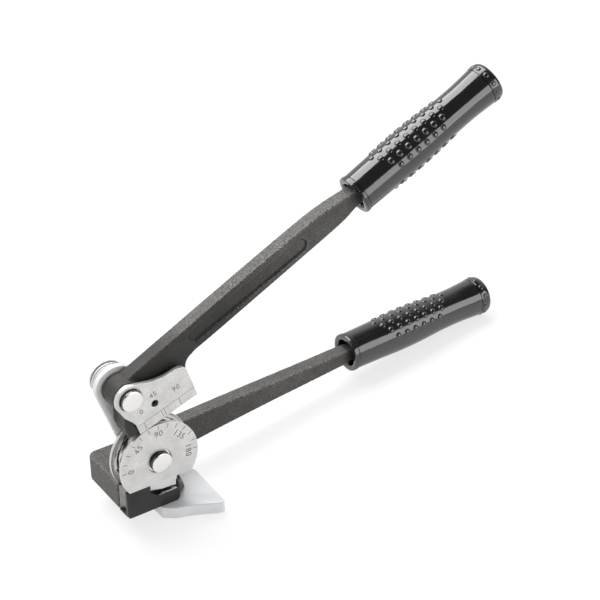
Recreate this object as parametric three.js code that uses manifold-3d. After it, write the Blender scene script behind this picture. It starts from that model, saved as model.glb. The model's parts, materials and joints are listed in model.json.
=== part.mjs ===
// A lever tube bender for 3/8 inch tube on a 15/16 inch centreline radius.
// Millimetres, +Z up. X runs along the lower handle, the dial faces -Y.
// The tool stands on its thumb lever and on the end of its lower grip.
import * as THREE from 'three';
import { mergeVertices } from 'three/addons/utils/BufferGeometryUtils.js';
import Module from 'manifold-3d';

const wasm = await Module();
wasm.setup();

// Tube and bend
const tubeDiameter = 9.53;
const grooveClearance = 0.05;
const bendRadius = 23.8;
const restDialDegrees = 71.1;

// Fits
const gap = 0.3;
const overrun = 2;

// Round stretches
const pinSides = 32;
const smallSides = 20;
const hexSides = 6;
const discSides = 72;
const gripSides = 40;
const grooveSteps = 10;
const cornerSteps = 4;

// Forming mandrel
const mandrelRadius = 24.5;
const mandrelDepth = 13.6;
const mandrelRimChamfer = 0.4;
const mandrelFlatDrop = 14.2;
const counterboreRadius = 7.5;
const counterboreDepth = 2.6;
const keyPinRadius = 1.5;
const keyPinX = -3;
const keyPinY = 9;
const keyPinSink = 5;

// Pins
const pinRadius = 6.35;
const pinChamfer = 0.9;
const pinFlangeRadius = 7.1;
const pinFlangeThickness = 1.4;
const mandrelPinProud = 2.6;
const shoePinProud = 4.5;
const ringGrooveDepth = 0.85;
const ringThickness = 1.1;
const ringRadius = 8.2;
const pinTail = 0.9;

// Link plate and what is stacked behind it
const linkLength = 51;
const linkHalfWidth = 12.4;
const linkThickness = 3.6;
const bushWall = 1.5;
const thrustWasherThickness = 0.9;
const thrustWasherRadius = 9.6;

// Handle spring
const springWire = 1.4;
const springOuterRadius = 10.2;
const springPitch = 1.9;
const springTurns = 2.75;
const springStepsPerTurn = 8;
const springSides = 5;
const springWasherThickness = 1.2;

// Bending shoe, measured along its edge and square to it from its pin
const shoePlateFront = 2.1;
const shoePlateThickness = 4.2;
const shoeEndRadius = 9.9;
const shoeLength = 35.4;
const shoeHeel = 3.1;
const shoeSkirtHeight = 8.2;
const shoeSkirtFront = 0.4;
const shoeCornerRadius = 3.2;
const shoeTopShares = [[0, 1], [0.17, 0.8], [0.45, 0.27], [0.65, 0.07], [1, 0.05]];
const shoeNeckShares = [-0.75, -0.8];
const shoeScrewAlong = 11.1;
const shoeScrewDropShare = 0.66;
const setScrewRadius = 1.9;
const setScrewLength = 9;
const setScrewSink = 1.1;
const setScrewSocketRadius = 1.1;
const setScrewSocketDepth = 2;

// Upper handle, measured along its bar from the shoe's pin
const knuckleRadius = 10.8;
const heelReach = 9.4;
const webRight = 36.5;
const webNeckShares = [-0.6, 0.8];
const upperBarRiseDegrees = 6.5;
const upperGripRiseDegrees = 7.4;
const upperAxisLift = 0.7;
const upperBarLength = 168;
const upperBarFront = 3.4;
const barThickness = 9;
const barBevel = 1.5;
const upperBarTop = 8;
const upperBarBottom = 7.5;
const upperBarTopShares = [[0.95, 0.76], [0.81, 1.06], [0.42, 1], [0.04, 0.85]];
const upperBarBottomShares = [[0.25, 1], [0.55, 1], [0.73, 0.9], [0.91, 0.73], [0.95, 0.62]];
const recessStart = 46;
const recessEnd = 130;
const recessHalfHeight = 4.6;
const recessRise = 1.4;
const recessDepth = 1.6;

// Lower handle
const blockLeft = 21.6;
const blockRight = 19.5;
const blockHeight = 16.9;
const blockBack = 48;
const blockFace = 5.5;
const blockEdgeRadius = 1.8;
const blockEndRadius = 4.5;
const bossRadius = 9.4;
const bossBack = 30;
const spotFaceRadius = 9.6;
const lowerBarFront = 29.5;
const lowerBarLength = 149.7;
const lowerGripRiseDegrees = 3.4;
const lowerAxisDrop = 2.45;
const lowerBarRootHeight = 18.8;
const lowerBarTopShares = [[0.94, 0.05], [0.56, -0.106], [0.21, -0.23], [0, -0.23]];
const lowerBarBottomShares = [
  [0.13, -1.2], [0.27, -1], [0.36, -0.955], [0.61, -0.64], [0.75, -0.525], [0.94, -0.37],
];

// Tang and grip
const tangHalfHeight = 3.6;
const tangEndWall = 10;
const gripBoreRadius = 6.3;
const gripLength = 106;
const tangLength = gripLength - tangEndWall;
const gripMouthRadius = 8.4;
const gripMouthDepth = 7;
const gripSmallRadius = 11.1;
const gripBodyShares = [
  [0.06, 1], [0.19, 1.08], [0.33, 1.13], [0.47, 1.12], [0.61, 1.05], [0.75, 0.99], [0.85, 0.99], [0.92, 1.03],
];
const gripCollarRadius = 11.6;
const gripCollarLength = 2.4;
const gripFlangeRadius = 12.6;
const gripFlangeLength = 7;
const gripEdgeRadius = 2.2;

// Tube seat under the mandrel
const seatWidth = 13.8;

// Latch housing
const housingThickness = 2.65;
const housingTallWidth = 14.6;
const housingLipDrop = 8.9;
const housingLipReach = 11.6;
const housingSillRise = 2.8;
const housingSillWidth = 5;
const housingCornerRadius = 3;
const housingEdgeChamfer = 1.6;
const housingPinRadius = 1.2;
const housingPinInset = 2.2;
const housingPinLength = 16;

// Latch lever and its pivot screw
const latchX = 9;
const latchY = 10.5;
const latchHeadRadius = 7.15;
const latchHeadHeight = 9.5;
const latchSocketRadius = 4;
const latchSocketDepth = 4.5;
const latchShankRadius = 4.75;
const leverThickness = 7.5;
const leverHubRadius = 10.5;
const leverEdgeChamfer = 0.8;
const leverTipRadius = 2.4;
const leverTipX = -0.9;
const leverTipY = -1.2;
const leverWingX = 30.6;
const leverWingY = -17.4;
const leverFrontShares = [[0.44, 0.43], [0.69, 0.66]];
const leverHeelX = 33.6;
const leverHeelY = 23;
const leverHeelRadius = 5;
const latchNutRadius = 7.4;
const latchNutHeight = 4.4;
const latchNutSink = 0.6;

// Derived places, y back from the dial face
const tubeRadius = tubeDiameter / 2;
const grooveRadius = tubeRadius + grooveClearance;
const grooveY = mandrelDepth / 2;
const shoeAngle = THREE.MathUtils.degToRad(90 - restDialDegrees);
const barRise = THREE.MathUtils.degToRad(upperBarRiseDegrees);
const upperGripRise = THREE.MathUtils.degToRad(upperGripRiseDegrees);
const lowerGripRise = THREE.MathUtils.degToRad(lowerGripRiseDegrees);
const boreRadius = pinRadius + gap;
const linkFront = mandrelDepth + gap;
const linkBack = linkFront + linkThickness;
const knuckleFront = shoePlateThickness - shoePlateFront + gap;
const knuckleBack = mandrelDepth;
const bossFront = linkBack + gap + thrustWasherThickness + gap;
const springFront = linkBack + gap;
const springBack = springFront + springPitch * springTurns + springWire;
const lowerBarBack = lowerBarFront + barThickness;
const blockTop = -mandrelFlatDrop - gap;
const blockBottom = blockTop - blockHeight;
const seatFront = housingThickness + gap;
const seatBack = 2 * grooveY - seatFront;
const leverTop = blockBottom - gap;
const leverBottom = leverTop - leverThickness;
const shoeEdge = mandrelRadius + gap - linkLength;
const skirtTop = shoeEdge + shoeSkirtHeight;
const shoeScrewDrop = -shoeScrewDropShare * skirtTop;
const pinFlangeSeat = pinFlangeThickness / 2;
const restCornerX = leverHeelX - leverEdgeChamfer;
const restFlangeX = lowerBarLength + gripLength - gripEdgeRadius;
const restFlangeZ = (gripLength - gripEdgeRadius) * Math.tan(lowerGripRise) - lowerAxisDrop - gripFlangeRadius;

// Materials
function finish(color, roughness, metalness) {
  return new THREE.MeshStandardMaterial({ color, roughness, metalness });
}
const castBlack = finish(0x45423f, 0.75, 0.3);
const satinBlack = finish(0x2e2d2d, 0.5, 0.4);
const machined = finish(0xd3d1cd, 0.35, 0.9);
const plated = finish(0xc9cbcc, 0.3, 0.9);
const bright = finish(0xe6e5e3, 0.2, 1.0);
const bronze = finish(0xb08a52, 0.4, 0.9);
const vinyl = finish(0x121213, 0.15, 0.0);

// Solids: a closed mesh with shared vertices becomes a body that can be cut and joined
function solidOf(geometry) {
  const bare = new THREE.BufferGeometry();
  bare.setAttribute('position', geometry.getAttribute('position').clone());
  if (geometry.index) bare.setIndex(geometry.index.clone());
  const welded = mergeVertices(bare, 1e-4 * gap);
  const index = welded.index.array;
  const kept = [];
  for (let i = 0; i < index.length; i += 3) {
    const [a, b, c] = [index[i], index[i + 1], index[i + 2]];
    if (a !== b && b !== c && c !== a) kept.push(a, b, c);
  }
  return new wasm.Manifold(new wasm.Mesh({
    numProp: 3,
    vertProperties: Float32Array.from(welded.getAttribute('position').array),
    triVerts: Uint32Array.from(kept),
  }));
}

function meshOf(name, solid, material) {
  const { vertProperties, triVerts, numProp } = solid.getMesh();
  const positions = new Float32Array((vertProperties.length / numProp) * 3);
  for (let i = 0; i < positions.length / 3; i++) {
    positions.set(vertProperties.subarray(i * numProp, i * numProp + 3), i * 3);
  }
  const geometry = new THREE.BufferGeometry();
  geometry.setAttribute('position', new THREE.BufferAttribute(positions, 3));
  geometry.setIndex(Array.from(triVerts));
  geometry.computeVertexNormals();
  const mesh = new THREE.Mesh(geometry, material);
  mesh.name = name;
  return mesh;
}

// Outline with rounded corners, from corners given as [x, y] or [x, y, radius]
function rounded(corners) {
  const points = [];
  corners.forEach(([x, y, radius = 0], i) => {
    const here = new THREE.Vector2(x, y);
    const before = corners[(i + corners.length - 1) % corners.length];
    const after = corners[(i + 1) % corners.length];
    const toBefore = new THREE.Vector2(before[0], before[1]).sub(here).normalize();
    const toAfter = new THREE.Vector2(after[0], after[1]).sub(here).normalize();
    if (radius === 0) {
      points.push(here);
      return;
    }
    const half = Math.acos(THREE.MathUtils.clamp(toBefore.dot(toAfter), -1, 1)) / 2;
    const reach = radius / Math.tan(half);
    const start = here.clone().addScaledVector(toBefore, reach);
    const end = here.clone().addScaledVector(toAfter, reach);
    const middle = toBefore.clone().add(toAfter).normalize();
    const centre = here.clone().addScaledVector(middle, radius / Math.sin(half));
    const from = start.clone().sub(centre).angle();
    let sweep = end.clone().sub(centre).angle() - from;
    if (sweep > Math.PI) sweep -= 2 * Math.PI;
    if (sweep < -Math.PI) sweep += 2 * Math.PI;
    for (let k = 0; k <= cornerSteps; k++) {
      const a = from + (sweep * k) / cornerSteps;
      points.push(new THREE.Vector2(centre.x + radius * Math.cos(a), centre.y + radius * Math.sin(a)));
    }
  });
  return points;
}

// Slab of an X-Z outline between two depths in Y, with an optional bevel on its rims
function slabY(corners, front, back, bevel = 0) {
  const shape = new THREE.Shape(rounded(corners));
  const geometry = new THREE.ExtrudeGeometry(shape, {
    depth: back - front - 2 * bevel,
    bevelEnabled: bevel > 0,
    bevelThickness: bevel,
    bevelSize: bevel,
    bevelOffset: -bevel,
    bevelSegments: 1,
  });
  return solidOf(geometry.rotateX(Math.PI / 2).translate(0, back - bevel, 0));
}

// Slab of an X-Y outline between two heights in Z
function slabZ(corners, low, high, bevel = 0) {
  const shape = new THREE.Shape(rounded(corners));
  const geometry = new THREE.ExtrudeGeometry(shape, {
    depth: high - low - 2 * bevel,
    bevelEnabled: bevel > 0,
    bevelThickness: bevel,
    bevelSize: bevel,
    bevelOffset: -bevel,
    bevelSegments: 1,
  });
  return solidOf(geometry.translate(0, 0, low + bevel));
}

// Round rods along each axis, given their centre line and two ends
function rodY(radius, front, back, x = 0, z = 0, sides = pinSides) {
  const geometry = new THREE.CylinderGeometry(radius, radius, back - front, sides);
  return solidOf(geometry.translate(x, (front + back) / 2, z));
}

function rodZ(radius, low, high, x = 0, y = 0, sides = pinSides) {
  const geometry = new THREE.CylinderGeometry(radius, radius, high - low, sides);
  return solidOf(geometry.rotateX(Math.PI / 2).translate(x, y, (low + high) / 2));
}

function rodX(radius, left, right, y = 0, z = 0, sides = pinSides) {
  const geometry = new THREE.CylinderGeometry(radius, radius, right - left, sides);
  return solidOf(geometry.rotateZ(Math.PI / 2).translate((left + right) / 2, y, z));
}

// Outline points from shares of a length and of a height
function scaled(shares, length, height) {
  return shares.map(([along, up]) => [along * length, up * height]);
}

// Body of revolution about Y from [radius, y] points that start and end on the axis
function turnedY(profile, sides = pinSides) {
  const points = profile.map(([r, y]) => new THREE.Vector2(r, y));
  return solidOf(new THREE.LatheGeometry(points, sides));
}

function ring(outer, inner, front, back, sides = pinSides) {
  return rodY(outer, front, back, 0, 0, sides)
    .subtract(rodY(inner, front - overrun, back + overrun, 0, 0, sides));
}

function box(left, right, front, back, low, high) {
  const geometry = new THREE.BoxGeometry(right - left, back - front, high - low);
  return solidOf(geometry.translate((left + right) / 2, (front + back) / 2, (low + high) / 2));
}

// Pin along Y with a chamfered nose, a seating flange and a groove for its ring
function makePin(nose, flangeSeat, tailRing) {
  const ringRoot = pinRadius - ringGrooveDepth;
  const tail = tailRing + ringThickness + gap + pinTail;
  return turnedY([
    [0, -nose],
    [pinRadius - pinChamfer, -nose],
    [pinRadius, pinChamfer - nose],
    [pinRadius, flangeSeat - pinFlangeThickness],
    [pinFlangeRadius, flangeSeat - pinFlangeThickness],
    [pinFlangeRadius, flangeSeat],
    [pinRadius, flangeSeat],
    [pinRadius, tailRing - gap],
    [ringRoot, tailRing - gap],
    [ringRoot, tailRing + ringThickness + gap],
    [pinRadius, tailRing + ringThickness + gap],
    [pinRadius, tail],
    [0, tail],
  ]);
}

function makeRetainingRing(front) {
  return ring(ringRadius, pinRadius - ringGrooveDepth + gap, front, front + ringThickness);
}

// The tube's own space, cut out of everything that holds it
const tubeSpace = rodZ(grooveRadius, blockBottom - overrun, 0, -bendRadius, grooveY);

// The bend's own space, seen from the shoe's pin
const bentTube = solidOf(new THREE.TorusGeometry(bendRadius, grooveRadius, 2 * grooveSteps, discSides)
  .rotateX(Math.PI / 2)
  .translate(0, grooveY, -linkLength));

// Forming mandrel: a disc with a half-round groove, a flat foot and a counterbored hub
function makeMandrel() {
  const profile = [[0, 0], [mandrelRadius - mandrelRimChamfer, 0], [mandrelRadius, mandrelRimChamfer]];
  for (let k = 0; k <= grooveSteps; k++) {
    const a = Math.PI * (k / grooveSteps - 1 / 2);
    if (k === 0) profile.push([mandrelRadius, grooveY - grooveRadius]);
    profile.push([bendRadius - grooveRadius * Math.cos(a), grooveY + grooveRadius * Math.sin(a)]);
    if (k === grooveSteps) profile.push([mandrelRadius, grooveY + grooveRadius]);
  }
  profile.push([mandrelRadius, mandrelDepth - mandrelRimChamfer]);
  profile.push([mandrelRadius - mandrelRimChamfer, mandrelDepth], [0, mandrelDepth]);
  const foot = box(-mandrelRadius - overrun, mandrelRadius + overrun, -overrun, mandrelDepth + overrun,
    -mandrelRadius - overrun, -mandrelFlatDrop);
  return turnedY(profile, discSides)
    .subtract(foot)
    .subtract(rodY(boreRadius, -overrun, mandrelDepth + overrun))
    .subtract(rodY(counterboreRadius, -overrun, counterboreDepth))
    .subtract(keyPinSpace(gap));
}

// Key pin: keeps the mandrel square on the block
function keyPinSpace(clearance) {
  return rodZ(keyPinRadius + clearance, blockTop - keyPinSink - clearance, blockTop + keyPinSink + clearance,
    keyPinX, keyPinY, smallSides);
}

// Tube seat: the straight half-round below the dial's zero
const seatLeft = -blockLeft;
const seatRight = seatLeft + seatWidth;
function makeSeat() {
  return box(seatLeft, seatRight, seatFront, seatBack, blockBottom, blockTop)
    .subtract(tubeSpace)
    .subtract(housingPinHoles());
}

// Latch housing: a black plate in front of the seat with a sill and a long lip
const housingPinX = seatRight - housingPinInset;
const housingPinHeights = [blockTop - blockHeight / 4, blockTop - (3 * blockHeight) / 4];
function housingPinHoles() {
  const [upper, lower] = housingPinHeights.map((z) => rodY(housingPinRadius + gap, housingThickness / 2 - gap,
    housingThickness / 2 + housingPinLength + gap, housingPinX, z, smallSides));
  return upper.add(lower);
}

function makeHousing() {
  const left = -blockLeft;
  const tallRight = left + housingTallWidth;
  const lip = blockTop - housingLipDrop;
  const plate = slabY([
    [left, blockTop],
    [tallRight, blockTop],
    [tallRight, lip + housingSillRise],
    [tallRight + housingSillWidth, lip],
    [housingLipReach, lip, housingCornerRadius / 2],
    [housingLipReach, blockBottom, housingCornerRadius],
    [left, blockBottom, housingEdgeChamfer],
  ], 0, housingThickness);
  const corner = slabZ([
    [left - overrun, -overrun],
    [left + housingEdgeChamfer + overrun, -overrun],
    [left - overrun, housingEdgeChamfer + overrun],
  ], blockBottom - overrun, blockTop + overrun);
  return plate.subtract(corner).subtract(tubeSpace).subtract(housingPinHoles());
}

function makeHousingPin(z) {
  return rodY(housingPinRadius, housingThickness / 2, housingThickness / 2 + housingPinLength,
    housingPinX, z, smallSides);
}

// Lower handle: vise block, boss for the mandrel pin, tapered bar and tang in one forging
function makeLowerHandle() {
  const blockProfile = slabY([
    [-blockLeft, blockBottom, blockEdgeRadius],
    [blockRight, blockBottom, blockEdgeRadius],
    [blockRight, blockTop],
    [-blockLeft, blockTop, blockEdgeRadius],
  ], 0, blockBack);
  const wallLeft = housingLipReach;
  const wallRight = wallLeft + blockEdgeRadius;
  const blockPlan = slabZ([
    [-blockLeft, seatBack + gap],
    [seatRight + gap, seatBack + gap],
    [seatRight + gap, blockFace],
    [wallLeft, blockFace],
    [wallLeft, seatFront],
    [wallRight, seatFront],
    [blockRight, latchY - latchShankRadius / 2],
    [blockRight, blockBack, blockEndRadius],
    [-blockLeft, blockBack, blockEndRadius],
  ], blockBottom - overrun, blockTop + overrun);
  const boss = rodY(bossRadius, bossFront, bossBack);
  const bridge = slabY([
    [-bossRadius, 0],
    [-bossRadius, blockTop - overrun],
    [blockRight, blockTop - overrun],
    [blockRight, blockTop],
    [bossRadius, 0],
  ], bossFront, bossBack);
  const barRootTop = lowerBarTopShares.at(-1)[1] * lowerBarRootHeight - barBevel;
  const root = slabY([
    [-bossRadius / 2, blockTop - overrun],
    [blockRight, blockTop - overrun],
    [blockRight, barRootTop],
    [0, barRootTop],
  ], bossBack - overrun, lowerBarBack);
  const bar = slabY([
    [lowerBarLength - gripMouthDepth / 2, tangHalfHeight - lowerAxisDrop],
    ...scaled(lowerBarTopShares, lowerBarLength, lowerBarRootHeight),
    ...scaled(lowerBarBottomShares, lowerBarLength, lowerBarRootHeight),
    [lowerBarLength - gripMouthDepth / 2, -tangHalfHeight - lowerAxisDrop],
  ], lowerBarFront, lowerBarBack, barBevel);
  const pocket = latchRod(latchHeadRadius + 2 * gap, blockTop - latchHeadHeight - gap, blockTop + overrun);
  const shaftHole = latchRod(latchShankRadius + gap, blockBottom - overrun, blockTop);
  return blockProfile.intersect(blockPlan)
    .add(boss)
    .add(bridge)
    .add(root)
    .add(bar)
    .add(lowerTang())
    .subtract(rodY(boreRadius, 0, bossBack + overrun))
    .subtract(rodY(spotFaceRadius, bossBack, lowerBarBack + overrun))
    .subtract(pocket)
    .subtract(shaftHole)
    .subtract(keyPinSpace(gap))
    .subtract(housingPinHoles())
    .subtract(tubeSpace);
}

function lowerTang() {
  return makeTang()
    .rotate([0, -lowerGripRiseDegrees, 0])
    .translate([lowerBarLength, lowerBarFront, -lowerAxisDrop]);
}

// Tang: the bar's thin end inside the grip, measured from the grip's mouth
function makeTang() {
  return slabY([
    [-gripMouthDepth, -tangHalfHeight],
    [tangLength, -tangHalfHeight],
    [tangLength, tangHalfHeight],
    [-gripMouthDepth, tangHalfHeight],
  ], 0, barThickness, barBevel);
}

// Grip: a dipped vinyl sleeve with a collar at its mouth and a round end flange
function makeGrip() {
  const boreEnd = tangLength + gap;
  const rim = gripEdgeRadius;
  const shape = turnedY([
    [0, gap],
    [gripCollarRadius, gap],
    [gripCollarRadius, gripCollarLength],
    ...gripBodyShares.map(([along, out]) => [out * gripSmallRadius, along * gripLength]),
    [gripFlangeRadius, gripLength - gripFlangeLength],
    [gripFlangeRadius, gripLength - rim],
    [gripFlangeRadius - rim / 3, gripLength - rim / 3],
    [gripFlangeRadius - rim, gripLength],
    [0, gripLength],
  ], gripSides);
  return shape
    .subtract(rodY(gripBoreRadius, -overrun, boreEnd, 0, 0, gripSides))
    .subtract(rodY(gripMouthRadius, -overrun, gripMouthDepth, 0, 0, gripSides))
    .rotate([0, 0, -90]);
}

// Link plate with a bush at each pin
function makeLink() {
  const sides = [];
  for (let k = 0; k <= pinSides / 2; k++) {
    const a = (Math.PI * 2 * k) / pinSides;
    sides.push([linkHalfWidth * Math.cos(a), linkLength + linkHalfWidth * Math.sin(a)]);
  }
  for (let k = 0; k <= pinSides / 2; k++) {
    const a = Math.PI + (Math.PI * 2 * k) / pinSides;
    sides.push([linkHalfWidth * Math.cos(a), linkHalfWidth * Math.sin(a)]);
  }
  const bore = boreRadius + bushWall + gap;
  let plate = slabY(sides, linkFront, linkBack);
  for (const z of [0, linkLength]) {
    plate = plate.subtract(rodY(bore, linkFront - overrun, linkBack + overrun, 0, z));
  }
  return plate;
}

function makeBush() {
  return ring(boreRadius + bushWall, boreRadius, linkFront, linkBack);
}

// Bending shoe: a marked plate round the pin and a half-round skirt that rides on the tube
function makeShoe() {
  const back = shoePlateThickness - shoePlateFront;
  const end = shoeEndRadius;
  const [neckX, neckZ] = shoeNeckShares;
  const top = scaled(shoeTopShares, shoeLength, end);
  const plate = slabY([
    ...top.slice(0, -1),
    [...top.at(-1), shoeCornerRadius],
    [shoeLength, skirtTop],
    [-shoeHeel, skirtTop],
    [neckX * end, neckZ * end],
  ], -shoePlateFront, back);
  const roundEnd = rodY(end, -shoePlateFront, back, 0, 0, discSides);
  const skirt = box(-shoeHeel, shoeLength, -shoeSkirtFront, knuckleBack, shoeEdge, skirtTop + gap / 2);
  const tube = rodX(grooveRadius, -shoeHeel - overrun, shoeLength + overrun, grooveY, bendRadius - linkLength);
  return plate.add(roundEnd).add(skirt)
    .subtract(tube)
    .subtract(rodY(boreRadius, -shoePlateFront - overrun, back + overrun))
    .subtract(rodY(pinFlangeRadius + gap, -shoePlateFront - overrun, pinFlangeSeat + gap))
    .subtract(setScrewRod(setScrewRadius + gap, -shoePlateFront - overrun, back + overrun));
}

function setScrewRod(radius, front, back, sides = smallSides) {
  return rodY(radius, front, back, shoeScrewAlong, -shoeScrewDrop, sides);
}

function makeSetScrew() {
  const front = setScrewSink - shoePlateFront;
  const socket = setScrewRod(setScrewSocketRadius, front - overrun, front + setScrewSocketDepth, hexSides);
  return setScrewRod(setScrewRadius, front, front + setScrewLength).subtract(socket);
}

// Upper handle: knuckle, web behind the shoe, long channelled bar and tang in one forging
function alongBar([s, t, radius = 0]) {
  return [
    s * Math.cos(barRise) - t * Math.sin(barRise),
    s * Math.sin(barRise) + t * Math.cos(barRise),
    radius,
  ];
}

function makeUpperHandle() {
  const [neckX, neckZ] = webNeckShares;
  const bar = slabY([
    [0, 0],
    ...scaled(upperBarBottomShares, upperBarLength, -upperBarBottom),
    [upperBarLength - gripMouthDepth / 2, upperAxisLift - tangHalfHeight],
    [upperBarLength - gripMouthDepth / 2, upperAxisLift + tangHalfHeight],
    ...scaled(upperBarTopShares, upperBarLength, upperBarTop),
  ].map(alongBar), upperBarFront, upperBarFront + barThickness, barBevel);
  const web = slabY([
    [neckX * knuckleRadius, neckZ * knuckleRadius],
    [-shoeHeel, skirtTop + gap],
    [webRight, skirtTop + gap],
    [webRight, -upperBarBottom],
    [webRight + upperBarBottom, 0],
    [upperBarTop, upperBarTop],
  ], knuckleFront, knuckleBack);
  const heel = box(-heelReach, -shoeHeel - gap, knuckleFront, knuckleBack, shoeEdge, 0)
    .intersect(rodY(-shoeEdge, 0, knuckleBack + overrun, 0, 0, discSides));
  const recess = slabY([
    [recessStart, recessRise - recessHalfHeight],
    [recessEnd, recessRise - recessHalfHeight, recessHalfHeight - gap],
    [recessEnd, recessRise + recessHalfHeight, recessHalfHeight - gap],
    [recessStart, recessRise + recessHalfHeight],
  ].map(alongBar), upperBarFront - overrun, upperBarFront + recessDepth);
  const [mouthX, mouthZ] = alongBar([upperBarLength, upperAxisLift]);
  const tang = makeTang()
    .rotate([0, -upperGripRiseDegrees, 0])
    .translate([mouthX, upperBarFront, mouthZ]);
  return rodY(knuckleRadius, knuckleFront, knuckleBack)
    .add(web)
    .add(heel)
    .add(bar)
    .add(tang)
    .subtract(recess)
    .subtract(box(-shoeHeel - gap, webRight + overrun, 0, knuckleBack + overrun, shoeEdge, skirtTop + gap))
    .subtract(bentTube)
    .subtract(rodY(boreRadius, 0, knuckleBack + overrun))
    .subtract(setScrewRod(setScrewRadius + gap, 0, setScrewLength - shoePlateFront + setScrewSink + gap));
}

// Handle spring: one unbroken wire on a helix
function makeSpring() {
  const wire = springWire / 2;
  const middle = springOuterRadius - wire;
  const steps = Math.round(springTurns * springStepsPerTurn);
  const centres = [];
  for (let k = 0; k <= steps; k++) {
    const turn = k / springStepsPerTurn;
    const a = 2 * Math.PI * turn;
    centres.push(new THREE.Vector3(
      middle * Math.cos(a),
      springFront + wire + springPitch * turn,
      middle * Math.sin(a),
    ));
  }
  const positions = [];
  const index = [];
  centres.forEach((centre, k) => {
    const out = new THREE.Vector3(centre.x, 0, centre.z).normalize();
    for (let j = 0; j < springSides; j++) {
      const b = (2 * Math.PI * j) / springSides;
      positions.push(
        centre.x + out.x * wire * Math.cos(b),
        centre.y + wire * Math.sin(b),
        centre.z + out.z * wire * Math.cos(b),
      );
    }
    if (k === steps) return;
    for (let j = 0; j < springSides; j++) {
      const next = (j + 1) % springSides;
      const [a, b] = [k * springSides + j, k * springSides + next];
      const [c, d] = [a + springSides, b + springSides];
      index.push(a, b, c, b, d, c);
    }
  });
  for (let j = 1; j < springSides - 1; j++) {
    index.push(0, j + 1, j);
    const last = steps * springSides;
    index.push(last, last + j, last + j + 1);
  }
  const geometry = new THREE.BufferGeometry();
  geometry.setAttribute('position', new THREE.Float32BufferAttribute(positions, 3));
  geometry.setIndex(index);
  return { geometry, centres };
}

function leastCoilGap(centres) {
  let least = Infinity;
  for (let i = 0; i < centres.length; i++) {
    for (let j = i + springStepsPerTurn - 1; j < centres.length; j++) {
      least = Math.min(least, centres[i].distanceTo(centres[j]) - springWire);
    }
  }
  return least;
}

// Latch lever: a thumb plate with a fishtail front, turning on a cap screw under the block
function latchRod(radius, low, high, sides = pinSides) {
  return rodZ(radius, low, high, latchX, latchY, sides);
}

function makeLever() {
  const front = scaled(leverFrontShares, leverWingX - leverTipX, leverWingY - leverTipY);
  const plan = [
    [leverTipX, leverTipY, leverTipRadius],
    ...front.map(([x, y]) => [leverTipX + x, leverTipY + y]),
    [leverWingX, leverWingY, leverTipRadius],
    [leverHeelX, leverHeelY, leverHeelRadius],
    [latchX, latchY + leverHubRadius, leverHubRadius / 2],
    [latchX - leverHubRadius, latchY + leverHubRadius / 2, leverHubRadius / 2],
  ];
  return slabZ(plan, leverBottom, leverTop, leverEdgeChamfer)
    .subtract(latchRod(latchShankRadius + gap, leverBottom - overrun, leverTop + overrun))
    .subtract(latchRod(latchNutRadius + gap, leverBottom - overrun,
      leverBottom + latchNutHeight + latchNutSink + gap));
}

function makeLatchScrew() {
  const headTop = blockTop;
  const head = latchRod(latchHeadRadius, headTop - latchHeadHeight, headTop);
  const shank = latchRod(latchShankRadius, leverBottom + latchNutSink, headTop - latchHeadHeight / 2);
  const socket = latchRod(latchSocketRadius, headTop - latchSocketDepth, headTop + overrun, hexSides);
  return head.add(shank).subtract(socket);
}

function makeLatchNut() {
  const low = leverBottom + latchNutSink;
  return latchRod(latchNutRadius, low, low + latchNutHeight, hexSides)
    .subtract(latchRod(latchShankRadius + gap, low - overrun, low + latchNutHeight + overrun));
}

// Assembly: lower handle and what is fixed to it
const tool = new THREE.Group();
tool.add(meshOf('lower_handle', makeLowerHandle(), castBlack));
const lowerGrip = meshOf('lower_grip', makeGrip(), vinyl);
lowerGrip.position.set(lowerBarLength, lowerBarFront + barThickness / 2, -lowerAxisDrop);
lowerGrip.rotation.y = -lowerGripRise;
tool.add(lowerGrip);
tool.add(meshOf('forming_mandrel', makeMandrel(), machined));
tool.add(meshOf('mandrel_key_pin', keyPinSpace(0), bright));
tool.add(meshOf('tube_seat', makeSeat(), machined));
tool.add(meshOf('latch_housing', makeHousing(), satinBlack));
tool.add(meshOf('housing_pin_upper', makeHousingPin(housingPinHeights[0]), bright));
tool.add(meshOf('housing_pin_lower', makeHousingPin(housingPinHeights[1]), bright));
const mandrelRingFront = bossBack + gap;
tool.add(meshOf('mandrel_pin', makePin(mandrelPinProud, counterboreDepth - gap, mandrelRingFront), bright));
tool.add(meshOf('mandrel_pin_ring', makeRetainingRing(mandrelRingFront), satinBlack));
tool.add(meshOf('thrust_washer',
  ring(thrustWasherRadius, boreRadius, linkBack + gap, bossFront - gap), bronze));
tool.add(meshOf('latch_screw', makeLatchScrew(), plated));
tool.add(meshOf('latch_lever', makeLever(), plated));
tool.add(meshOf('latch_nut', makeLatchNut(), satinBlack));

// Link, swung about the mandrel pin
const swing = new THREE.Group();
swing.rotation.y = -shoeAngle;
tool.add(swing);
swing.add(meshOf('link_plate', makeLink(), bright));
swing.add(meshOf('mandrel_pin_bush', makeBush(), bronze));
const pivotBush = meshOf('pivot_pin_bush', makeBush(), bronze);
pivotBush.position.z = linkLength;
swing.add(pivotBush);

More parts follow.
